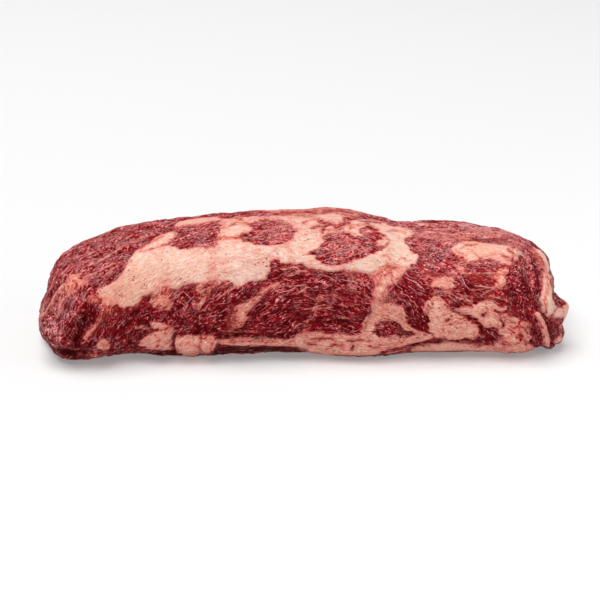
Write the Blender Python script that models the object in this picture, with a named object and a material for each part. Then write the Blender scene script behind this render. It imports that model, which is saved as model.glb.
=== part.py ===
"""A raw beef chuck eye roast: one long boneless piece of meat lying on its flat underside.

Metres, +Z up. X runs along the roast, -Y is the side that is shown, and the origin is the middle of the
footprint. The skin is a closed grid of rings: each ring is a lopsided superellipse, flat where it
rests, and the rings shrink to a pole at both ends. Lumps, seams, ridges and crags then push the skin in
or out along its own normal.
"""

import bpy
import bmesh
import numpy as np

# Driving dimensions
LENGTH = 0.400
RING_COUNT = 94
POINTS_PER_RING = 54

# The trunk before its ends round off: place along X, reach to the front, reach to the back, height
TRUNK = (
    (-0.200, 0.088, 0.054, 0.076),
    (-0.170, 0.087, 0.059, 0.081),
    (-0.140, 0.070, 0.063, 0.086),
    (-0.100, 0.063, 0.067, 0.088),
    (-0.050, 0.065, 0.069, 0.091),
    (0.000, 0.064, 0.070, 0.0905),
    (0.040, 0.066, 0.070, 0.0915),
    (0.080, 0.066, 0.070, 0.083),
    (0.120, 0.064, 0.070, 0.081),
    (0.160, 0.070, 0.068, 0.077),
    (0.200, 0.071, 0.064, 0.070),
)
REACH_SHARE = 0.35  # a ring's reach over half the length, to space the rings evenly
WIDTH_TO_HEIGHT = 1.7  # of a ring, to space its points evenly
CROWDING = 8  # power that crowds the trial steps towards the poles, where the ends turn fastest
BELLY_SHARE = 0.42  # of the height, where the roast is widest
SUNK = 0.005  # how far the unflattened ring would reach below the table
UPPER_POWER = 2.35  # superellipse power of a ring above the belly: a dome
LOWER_POWER = 3.1  # below the belly: boxier, as the meat slumps
LEFT_END_POWER = 3.5  # lengthwise: a long rounded end
RIGHT_END_POWER = 6.2  # a blunt end, cut across
LEFT_LEAN = 0.26  # how much further the foot of an end reaches than its top, for each metre of height
RIGHT_LEAN = 0.18  # the same for the right end
LEFT_SKEW = 0.10  # how much further an end reaches at the back than at the front, for each metre of depth
RIGHT_SKEW = 0.12
LEAN_START = 0.13  # distance from the middle where the lean begins
FOOT_POWER = 0.46  # the foot of a ring shrinks later towards an end than its top does, by this power

# Rounded masses: centre, radii, height
LUMPS = (
    ((-0.085, -0.063, 0.015), (0.011, 0.014, 0.009), 0.0045),  # pair of fat nodules, larger
    ((-0.070, -0.063, 0.015), (0.007, 0.012, 0.008), 0.0030),  # pair of fat nodules, smaller
    ((-0.105, -0.063, 0.020), (0.012, 0.014, 0.011), 0.0030),
    ((-0.148, -0.068, 0.018), (0.006, 0.010, 0.007), 0.0030),  # lone nodule near the left end
    ((0.042, -0.066, 0.015), (0.026, 0.016, 0.010), 0.0030),  # fat bulging over the front foot
    ((0.156, -0.067, 0.018), (0.014, 0.016, 0.012), 0.0025),  # fat bulging at the right foot
    ((0.111, -0.067, 0.030), (0.022, 0.016, 0.014), 0.0025),  # broad fat pad
    ((-0.192, -0.058, 0.030), (0.010, 0.022, 0.014), 0.0015),  # lobe at the left end
    ((-0.197, -0.040, 0.011), (0.014, 0.022, 0.008), -0.0060),  # tuck under that lobe
    ((-0.184, -0.062, 0.001), (0.014, 0.014, 0.006), 0.0060),  # foot at the left corner
    ((-0.200, 0.004, 0.038), (0.016, 0.034, 0.012), -0.0036),
    ((0.196, -0.032, 0.0285), (0.012, 0.014, 0.009), 0.0105),  # torn flaps on the right end
    ((0.198, -0.036, 0.014), (0.012, 0.014, 0.008), 0.0060),
    ((0.198, 0.022, 0.032), (0.016, 0.022, 0.018), 0.0050),
    ((-0.020, -0.030, 0.084), (0.050, 0.026, 0.020), 0.0020),  # muscles that crown the top
    ((-0.095, -0.042, 0.074), (0.040, 0.022, 0.018), 0.0018),
    ((0.036, -0.040, 0.078), (0.026, 0.016, 0.014), 0.0015),
    ((-0.132, -0.060, 0.001), (0.024, 0.022, 0.010), -0.0024),  # where the front foot lifts off the table
    ((-0.046, -0.058, 0.001), (0.020, 0.022, 0.010), -0.0024),
    ((0.010, -0.058, 0.001), (0.018, 0.022, 0.010), -0.0016),
    ((0.086, -0.058, 0.001), (0.024, 0.022, 0.010), -0.0030),
    ((0.148, -0.058, 0.001), (0.010, 0.022, 0.010), -0.0024),
    ((0.186, -0.050, 0.001), (0.014, 0.022, 0.010), -0.0026),
    ((-0.182, -0.004, 0.064), (0.018, 0.040, 0.016), 0.0032),  # the left shoulder and the right one
    ((0.160, -0.004, 0.076), (0.014, 0.040, 0.014), 0.0026),
    ((0.020, 0.068, 0.040), (0.045, 0.018, 0.022), 0.0030),  # masses of the far side
    ((-0.090, 0.064, 0.036), (0.034, 0.018, 0.024), 0.0030),
    ((0.120, 0.066, 0.032), (0.030, 0.018, 0.020), 0.0030),
)

# Grooves where muscles and fat part: width, depth, route. A ridge has a negative depth.
NARROWEST = 0.0055  # width that a grid of this many points can still show
SEAMS = (
    # right corner: the fold, the strip of fat beside it and the fold after that
    (0.0040, 0.0040, ((0.170, -0.030, 0.068), (0.174, -0.045, 0.060), (0.176, -0.061, 0.043))),
    (0.0030, -0.0030, ((0.174, -0.065, 0.037), (0.181, -0.063, 0.028), (0.190, -0.044, 0.003))),
    (0.0030, 0.0030, ((0.181, -0.062, 0.037), (0.188, -0.060, 0.022), (0.190, -0.056, 0.008))),
    # between the flaps
    (0.0045, 0.0025, ((0.200, -0.044, 0.020), (0.201, -0.020, 0.020), (0.201, 0.004, 0.020))),
    # above the right fat
    (0.0028, 0.0024, ((0.134, -0.016, 0.078), (0.148, -0.015, 0.077), (0.162, -0.010, 0.074))),
    # over the fat of the foot
    (0.0032, 0.0020, ((-0.063, -0.065, 0.022), (-0.031, -0.063, 0.021), (0.000, -0.063, 0.020))),
    (0.0032, 0.0020, ((0.082, -0.062, 0.011), (0.108, -0.065, 0.014), (0.140, -0.064, 0.013))),
    # left of, and between, the nodules
    (0.0024, 0.0028, ((-0.076, -0.064, 0.023), (-0.077, -0.063, 0.016), (-0.076, -0.053, 0.005))),
    (0.0026, 0.0028, ((-0.097, -0.063, 0.025), (-0.097, -0.063, 0.019), (-0.097, -0.054, 0.007))),
    # dark pocket
    (0.0045, 0.0040, ((-0.159, -0.073, 0.039), (-0.162, -0.074, 0.032), (-0.166, -0.075, 0.026))),
    # left end: a fold, the ridge beside it and the fold under the lobe
    (0.0036, 0.0030, ((-0.179, -0.047, 0.056), (-0.186, -0.047, 0.050), (-0.191, -0.050, 0.041))),
    (0.0030, -0.0024, ((-0.174, -0.050, 0.057), (-0.183, -0.053, 0.048), (-0.191, -0.053, 0.036))),
    (0.0040, 0.0030, ((-0.193, -0.058, 0.016), (-0.181, -0.067, 0.013), (-0.163, -0.069, 0.011))),
    # far side and top
    (
        0.0050,
        0.0030,
        ((-0.155, 0.054, 0.044), (-0.060, 0.066, 0.056), (0.060, 0.066, 0.057), (0.165, 0.061, 0.044)),
    ),
    (0.0045, 0.0026, ((-0.130, 0.062, 0.020), (-0.030, 0.070, 0.020), (0.080, 0.070, 0.014))),
    (0.0045, 0.0026, ((-0.120, 0.028, 0.080), (-0.020, 0.040, 0.082), (0.090, 0.030, 0.077))),
    # cut end
    (0.0040, 0.0030, ((0.195, -0.020, 0.050), (0.199, 0.006, 0.039), (0.198, 0.040, 0.045))),
    (0.0040, 0.0026, ((0.199, 0.006, 0.039), (0.202, 0.016, 0.020), (0.203, 0.030, 0.004))),
)

# Crags: size of the grain of the noise along X, Y and Z, its height and its seed
CRAGS = (
    ((0.060, 0.040, 0.040), 0.0020, 11),
    ((0.026, 0.016, 0.016), 0.0013, 23),
    ((0.013, 0.008, 0.008), 0.0007, 37),
)

LEAN_RED = (0.33, 0.045, 0.045, 1.0)
WET_ROUGHNESS = 0.38


def signed_power(values, power):
    """|values| to the power, with the sign kept."""
    return np.sign(values) * np.abs(values) ** power


def smooth_table(table, x):
    """A cubic through the rows of the table, whose first column is x: Hermite pieces with averaged slopes."""
    knots = np.array(table)
    at, values = knots[:, 0], knots[:, 1:]
    slopes = np.gradient(values, at, axis=0)
    x = np.clip(x, at[0], at[-1])
    left = np.clip(np.searchsorted(at, x, side="right") - 1, 0, len(at) - 2)
    span = at[left + 1] - at[left]
    t = ((x - at[left]) / span)[..., None]
    span = span[..., None]
    return (
        values[left] * (1 + 2 * t) * (1 - t) ** 2
        + values[left + 1] * t**2 * (3 - 2 * t)
        + slopes[left] * span * t * (1 - t) ** 2
        - slopes[left + 1] * span * t**2 * (1 - t)
    )


def even_steps(columns, x, y, count, closed):
    """The columns' values where the line x, y, which they run along, is cut into pieces of equal length."""
    length = np.concatenate([[0.0], np.cumsum(np.hypot(np.diff(x), np.diff(y)))])
    wanted = np.linspace(0.0, length[-1], count + 1 if closed else count)
    if closed:
        wanted = wanted[:-1]
    return np.stack([np.interp(wanted, length, column) for column in columns])


def ring_shape(turn):
    """One ring of unit reach: across from -1 at the front to 1 at the back, up from -1 to 1.

    Turn 0 is underneath.
    """
    angle = 2 * np.pi * turn
    power = np.where(np.cos(angle) > 0, LOWER_POWER, UPPER_POWER)
    across = -signed_power(np.sin(angle), 2 / power)
    up = -signed_power(np.cos(angle), 2 / power)
    return across, up


def lengthwise_shape(share):
    """Place along X from -1 to 1 and the ring's scale from 0 to 1.

    A superellipse with a power for each end.
    """
    angle = np.pi * share
    power = np.where(np.cos(angle) > 0, LEFT_END_POWER, RIGHT_END_POWER)
    return -signed_power(np.cos(angle), 2 / power), signed_power(np.sin(angle), 2 / power)


def trunk(ring_count, points_per_ring):
    """Grid of points, rings by points, of the roast before its relief."""
    fine = np.linspace(0.0, 1.0, 4001)
    crowded = fine**CROWDING / (fine**CROWDING + (1 - fine) ** CROWDING)
    along, scale = lengthwise_shape(crowded)
    reach = scale**FOOT_POWER * REACH_SHARE
    along, scale = even_steps((along, scale), along, reach, ring_count + 2, closed=False)[:, 1:-1]
    across, up = ring_shape(fine)
    across, up = even_steps((across, up), across * WIDTH_TO_HEIGHT, up, points_per_ring, closed=True)
    x = along * LENGTH / 2
    front, back, height = (column[:, None] for column in smooth_table(TRUNK, x).T)
    belly = height * BELLY_SHARE
    scale = scale[:, None] ** (1 - (1 - FOOT_POWER) * (1 - up) / 2)
    y = scale * across * np.where(across < 0, front, back)
    z = belly + up * np.where(up < 0, belly + SUNK, height - belly) * scale
    end = np.clip((np.abs(x) - LEAN_START) / (LENGTH / 2 - LEAN_START), 0, 1)
    lean = np.where(x < 0, LEFT_LEAN, -RIGHT_LEAN) * end**2
    skew = np.where(x < 0, -LEFT_SKEW, RIGHT_SKEW) * end**2
    x = x[:, None] + lean[:, None] * (z - belly) + skew[:, None] * y
    return np.stack([x, y, z], axis=-1)


def normals_of(grid):
    """Outward unit normals of the grid: along cross around, from central differences."""
    along = np.gradient(grid, axis=0)
    around = np.roll(grid, -1, axis=1) - np.roll(grid, 1, axis=1)
    normal = np.cross(along, around)
    return normal / np.linalg.norm(normal, axis=-1, keepdims=True)


def distance_to_route(points, route):
    """Shortest distance from each point to the broken line through the route's points."""
    route = np.array(route)
    nearest = np.full(points.shape[:-1], np.inf)
    for start, end in zip(route[:-1], route[1:]):
        step = end - start
        t = np.clip(((points - start) @ step) / (step @ step), 0, 1)
        nearest = np.minimum(nearest, np.linalg.norm(points - start - t[..., None] * step, axis=-1))
    return nearest


def lattice(corner, seed):
    """A repeatable number from -1 to 1 for each whole-numbered corner."""
    mixed = corner[..., 0] * 73856093 ^ corner[..., 1] * 19349663 ^ corner[..., 2] * 83492791
    mixed = mixed ^ seed * 2654435761
    mixed = (mixed ^ (mixed >> 15)) * 2246822519 & 0xFFFFFFFF
    mixed = (mixed ^ (mixed >> 13)) * 3266489917 & 0xFFFFFFFF
    return (mixed ^ (mixed >> 16)) / 0x7FFFFFFF - 1.0


def noise(points, grain, seed):
    """Smooth noise from -1 to 1: lattice numbers a grain apart, blended by a smooth step on each axis."""
    scaled = points / np.array(grain)
    corner = np.floor(scaled).astype(np.int64)
    t = scaled - corner
    t = t * t * (3 - 2 * t)
    total = np.zeros(points.shape[:-1])
    for dx in (0, 1):
        for dy in (0, 1):
            for dz in (0, 1):
                step = np.array([dx, dy, dz])
                total += np.abs(1 - step - t).prod(axis=-1) * lattice(corner + step, seed)
    return total


def relief(points):
    """How far the skin stands out at each point: lumps less seams, plus the crags."""
    out = np.zeros(points.shape[:-1])
    for centre, radii, height in LUMPS:
        out += height * np.exp(-(((points - np.array(centre)) / np.array(radii)) ** 2).sum(-1))
    for width, depth, route in SEAMS:
        out -= depth * np.exp(-((distance_to_route(points, route) / max(width, NARROWEST)) ** 2))
    for grain, height, seed in CRAGS:
        out += height * noise(points, grain, seed)
    return out


def roast_grid(ring_count, points_per_ring):
    """The finished skin: the trunk, pushed along its normals by the relief and flattened where it rests."""
    grid = trunk(ring_count, points_per_ring)
    grid = grid + normals_of(grid) * relief(grid)[..., None]
    grid[..., 2] = np.maximum(grid[..., 2], 0.0)
    return grid


def centred(grid, poles):
    """Moved so that the box of the whole is centred on X and Y, and stretched to the stated length."""
    everything = np.concatenate([grid.reshape(-1, 3), poles])
    low, high = everything.min(axis=0), everything.max(axis=0)
    shift = np.array([(low[0] + high[0]) / 2, (low[1] + high[1]) / 2, 0.0])
    stretch = np.array([LENGTH / (high[0] - low[0]), 1.0, 1.0])
    return (grid - shift) * stretch, (poles - shift) * stretch


def closed_skin(name, grid, poles):
    """A mesh of quads between neighbouring rings, with a fan of triangles to the pole at each end."""
    skin = bmesh.new()
    rings = [[skin.verts.new(point) for point in ring] for ring in grid]
    first, last = (skin.verts.new(point) for point in poles)
    count = len(rings[0])
    for here, there in zip(rings[:-1], rings[1:]):
        for k in range(count):
            after = (k + 1) % count
            skin.faces.new((here[k], here[after], there[after], there[k]))
    for k in range(count):
        after = (k + 1) % count
        skin.faces.new((first, rings[0][after], rings[0][k]))
        skin.faces.new((last, rings[-1][k], rings[-1][after]))
    bmesh.ops.recalc_face_normals(skin, faces=skin.faces)
    mesh = bpy.data.meshes.new(name)
    skin.to_mesh(mesh)
    skin.free()
    mesh.shade_smooth()
    return mesh


def meat_material():
    """Wet red meat."""
    material = bpy.data.materials.new("raw_beef")
    material.use_nodes = True
    shader = material.node_tree.nodes["Principled BSDF"]
    shader.inputs["Base Color"].default_value = LEAN_RED
    shader.inputs["Roughness"].default_value = WET_ROUGHNESS
    shader.inputs["Metallic"].default_value = 0.0
    return material


def build():
    """Clears the scene and adds the roast."""
    for old in list(bpy.data.objects):
        bpy.data.objects.remove(old)
    grid = roast_grid(RING_COUNT, POINTS_PER_RING)
    poles = np.array([grid[0].mean(axis=0), grid[-1].mean(axis=0)])
    grid, poles = centred(grid, poles)
    mesh = closed_skin("roast", grid, poles)
    mesh.materials.append(meat_material())
    roast = bpy.data.objects.new("roast", mesh)
    bpy.context.scene.collection.objects.link(roast)


build()
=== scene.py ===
"""A raw beef chuck eye roast on a plain pale table, dressed over its CAD solid.

Metres, +Z up, -Y is the side that is shown. The skin is one closed grid of rings with the same form as
the CAD solid: superellipse rings that shrink to a pole at both ends, pushed in and out by lumps, seams and
crags. On top of that come the things a solid leaves out: the sheets, islands and threads of fat, the
grain of the lean, grooves, pits and sinews. Where fat lies is a signed distance in millimetres to outlines
and strokes drawn on five charts: the shown side, the far side, the underside and the two ends.
"""

import bpy
import numpy as np
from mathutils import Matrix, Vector


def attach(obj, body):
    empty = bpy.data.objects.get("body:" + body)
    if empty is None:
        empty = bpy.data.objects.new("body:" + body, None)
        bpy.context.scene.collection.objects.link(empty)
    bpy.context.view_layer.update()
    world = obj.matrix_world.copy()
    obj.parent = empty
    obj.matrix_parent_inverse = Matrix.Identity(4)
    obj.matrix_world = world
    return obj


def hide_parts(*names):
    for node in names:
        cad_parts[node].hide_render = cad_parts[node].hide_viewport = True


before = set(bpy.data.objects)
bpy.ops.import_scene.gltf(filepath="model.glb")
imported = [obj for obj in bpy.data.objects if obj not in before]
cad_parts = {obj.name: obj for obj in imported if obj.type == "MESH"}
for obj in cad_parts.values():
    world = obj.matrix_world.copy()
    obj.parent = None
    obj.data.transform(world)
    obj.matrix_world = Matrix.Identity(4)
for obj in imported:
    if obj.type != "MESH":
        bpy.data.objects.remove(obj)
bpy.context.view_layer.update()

# ---------------------------------------------------------------------------------------------------------
# Form, as in the CAD source
# ---------------------------------------------------------------------------------------------------------

LENGTH = 0.400
CAD_RING_COUNT, CAD_POINTS_PER_RING = 94, 54

# The trunk before its ends round off: place along X, reach to the front, reach to the back, height
TRUNK = (
    (-0.200, 0.088, 0.054, 0.076),
    (-0.170, 0.087, 0.059, 0.081),
    (-0.140, 0.070, 0.063, 0.086),
    (-0.100, 0.063, 0.067, 0.088),
    (-0.050, 0.065, 0.069, 0.091),
    (0.000, 0.064, 0.070, 0.0905),
    (0.040, 0.066, 0.070, 0.0915),
    (0.080, 0.066, 0.070, 0.083),
    (0.120, 0.064, 0.070, 0.081),
    (0.160, 0.070, 0.068, 0.077),
    (0.200, 0.071, 0.064, 0.070),
)
CAD_REACH_SHARE = 0.35  # a ring's reach over half the length, to space the solid's rings evenly
WIDTH_TO_HEIGHT = 1.7
TRIAL_STEPS = 4001  # fine steps from which the evenly spaced rings and points are taken
CROWDING = 8  # power that crowds the trial steps towards the poles, where the ends turn fastest
BELLY_SHARE = 0.42  # of the height, where the roast is widest
SUNK = 0.005  # how far the unflattened ring would reach below the table
UPPER_POWER, LOWER_POWER = 2.35, 3.1  # superellipse powers of a ring above and below the belly
LEFT_END_POWER, RIGHT_END_POWER = 3.5, 6.2  # lengthwise: a long rounded end, and a blunt one
LEFT_LEAN, RIGHT_LEAN = 0.26, 0.18  # how far the foot of an end reaches past its top, per metre of height
LEFT_SKEW, RIGHT_SKEW = 0.10, 0.12  # how far an end reaches at the back past its front, per metre of depth
LEAN_START = 0.13
FOOT_POWER = 0.46  # the foot of a ring shrinks later towards an end than its top does

# Rounded masses: centre, radii, height
LUMPS = (
    ((-0.085, -0.063, 0.015), (0.011, 0.014, 0.009), 0.0045),  # pair of fat nodules, larger
    ((-0.070, -0.063, 0.015), (0.007, 0.012, 0.008), 0.0030),  # pair of fat nodules, smaller
    ((-0.105, -0.063, 0.020), (0.012, 0.014, 0.011), 0.0030),
    ((-0.148, -0.068, 0.018), (0.006, 0.010, 0.007), 0.0030),  # lone nodule near the left end
    ((0.042, -0.066, 0.015), (0.026, 0.016, 0.010), 0.0030),  # fat bulging over the front foot
    ((0.156, -0.067, 0.018), (0.014, 0.016, 0.012), 0.0025),  # fat bulging at the right foot
    ((0.111, -0.067, 0.030), (0.022, 0.016, 0.014), 0.0025),  # broad fat pad
    ((-0.192, -0.058, 0.030), (0.010, 0.022, 0.014), 0.0015),  # lobe at the left end
    ((-0.197, -0.040, 0.011), (0.014, 0.022, 0.008), -0.0060),  # tuck under that lobe
    ((-0.184, -0.062, 0.001), (0.014, 0.014, 0.006), 0.0060),  # foot at the left corner
    ((-0.200, 0.004, 0.038), (0.016, 0.034, 0.012), -0.0036),
    ((0.196, -0.032, 0.0285), (0.012, 0.014, 0.009), 0.0105),  # torn flaps on the right end
    ((0.198, -0.036, 0.014), (0.012, 0.014, 0.008), 0.0060),
    ((0.198, 0.022, 0.032), (0.016, 0.022, 0.018), 0.0050),
    ((-0.020, -0.030, 0.084), (0.050, 0.026, 0.020), 0.0020),  # muscles that crown the top
    ((-0.095, -0.042, 0.074), (0.040, 0.022, 0.018), 0.0018),
    ((0.036, -0.040, 0.078), (0.026, 0.016, 0.014), 0.0015),
    ((-0.132, -0.060, 0.001), (0.024, 0.022, 0.010), -0.0024),  # where the front foot lifts off the table
    ((-0.046, -0.058, 0.001), (0.020, 0.022, 0.010), -0.0024),
    ((0.010, -0.058, 0.001), (0.018, 0.022, 0.010), -0.0016),
    ((0.086, -0.058, 0.001), (0.024, 0.022, 0.010), -0.0030),
    ((0.148, -0.058, 0.001), (0.010, 0.022, 0.010), -0.0024),
    ((0.186, -0.050, 0.001), (0.014, 0.022, 0.010), -0.0026),
    ((-0.182, -0.004, 0.064), (0.018, 0.040, 0.016), 0.0032),  # the left shoulder and the right one
    ((0.160, -0.004, 0.076), (0.014, 0.040, 0.014), 0.0026),
    ((0.020, 0.068, 0.040), (0.045, 0.018, 0.022), 0.0030),  # masses of the far side
    ((-0.090, 0.064, 0.036), (0.034, 0.018, 0.024), 0.0030),
    ((0.120, 0.066, 0.032), (0.030, 0.018, 0.020), 0.0030),
)

# Grooves where muscles part: width, depth, route. A ridge has a negative depth.
NARROWEST = 0.0055
SEAMS = (
    # right corner: the fold, the strip of fat beside it and the fold after that
    (0.0040, 0.0040, ((0.170, -0.030, 0.068), (0.174, -0.045, 0.060), (0.176, -0.061, 0.043))),
    (0.0030, -0.0030, ((0.174, -0.065, 0.037), (0.181, -0.063, 0.028), (0.190, -0.044, 0.003))),
    (0.0030, 0.0030, ((0.181, -0.062, 0.037), (0.188, -0.060, 0.022), (0.190, -0.056, 0.008))),
    # between the flaps
    (0.0045, 0.0025, ((0.200, -0.044, 0.020), (0.201, -0.020, 0.020), (0.201, 0.004, 0.020))),
    # above the right fat
    (0.0028, 0.0024, ((0.134, -0.016, 0.078), (0.148, -0.015, 0.077), (0.162, -0.010, 0.074))),
    # over the fat of the foot
    (0.0032, 0.0020, ((-0.063, -0.065, 0.022), (-0.031, -0.063, 0.021), (0.000, -0.063, 0.020))),
    (0.0032, 0.0020, ((0.082, -0.062, 0.011), (0.108, -0.065, 0.014), (0.140, -0.064, 0.013))),
    # left of, and between, the nodules
    (0.0024, 0.0028, ((-0.076, -0.064, 0.023), (-0.077, -0.063, 0.016), (-0.076, -0.053, 0.005))),
    (0.0026, 0.0028, ((-0.097, -0.063, 0.025), (-0.097, -0.063, 0.019), (-0.097, -0.054, 0.007))),
    # dark pocket
    (0.0045, 0.0040, ((-0.159, -0.073, 0.039), (-0.162, -0.074, 0.032), (-0.166, -0.075, 0.026))),
    # left end: a fold, the ridge beside it and the fold under the lobe
    (0.0036, 0.0030, ((-0.179, -0.047, 0.056), (-0.186, -0.047, 0.050), (-0.191, -0.050, 0.041))),
    (0.0030, -0.0024, ((-0.174, -0.050, 0.057), (-0.183, -0.053, 0.048), (-0.191, -0.053, 0.036))),
    (0.0040, 0.0030, ((-0.193, -0.058, 0.016), (-0.181, -0.067, 0.013), (-0.163, -0.069, 0.011))),
    # far side and top
    (0.0050, 0.0030, (
        (-0.155, 0.054, 0.044), (-0.060, 0.066, 0.056), (0.060, 0.066, 0.057), (0.165, 0.061, 0.044),
    )),
    (0.0045, 0.0026, ((-0.130, 0.062, 0.020), (-0.030, 0.070, 0.020), (0.080, 0.070, 0.014))),
    (0.0045, 0.0026, ((-0.120, 0.028, 0.080), (-0.020, 0.040, 0.082), (0.090, 0.030, 0.077))),
    # cut end
    (0.0040, 0.0030, ((0.195, -0.020, 0.050), (0.199, 0.006, 0.039), (0.198, 0.040, 0.045))),
    (0.0040, 0.0026, ((0.199, 0.006, 0.039), (0.202, 0.016, 0.020), (0.203, 0.030, 0.004))),
)

# Crags: size of the grain of the noise along X, Y and Z, its height and its seed
CRAGS = (
    ((0.060, 0.040, 0.040), 0.0020, 11),
    ((0.026, 0.016, 0.016), 0.0013, 23),
    ((0.013, 0.008, 0.008), 0.0007, 37),
)

# ---------------------------------------------------------------------------------------------------------
# The finer skin
# ---------------------------------------------------------------------------------------------------------

RING_COUNT = 402
POINTS_PER_RING = 247
REACH_SHARE = 0.20  # fewer of the rings go to the end faces than in the solid
SHOWN_TURNS = (0.085, 0.60)  # share of a ring, from underneath over front and top, with close points
BEFORE_SHOWN, AFTER_SHOWN = 0.03, 0.05  # share of a ring over which the points draw together and apart
FAR_SHARE = 0.42  # how close the points of the rest are, over those
MM = 1000.0  # charts, outlines and grain are in millimetres

# Camera, as the photograph was taken
AZIMUTH, ELEVATION = np.radians(-2.0), np.radians(20.0)
CAMERA_DISTANCE = 1.077
TARGET = np.array([0.0, 0.0, 0.0267])
LENS, SENSOR = 85.0, 36.0
CAMERA_SEES = 60.0  # metres
TO_EYE = np.array(
    [np.sin(AZIMUTH) * np.cos(ELEVATION), -np.cos(AZIMUTH) * np.cos(ELEVATION), np.sin(ELEVATION)]
)
TO_RIGHT = np.array([np.cos(AZIMUTH), np.sin(AZIMUTH), 0.0])
TO_TOP = np.cross(TO_EYE, TO_RIGHT)

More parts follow.
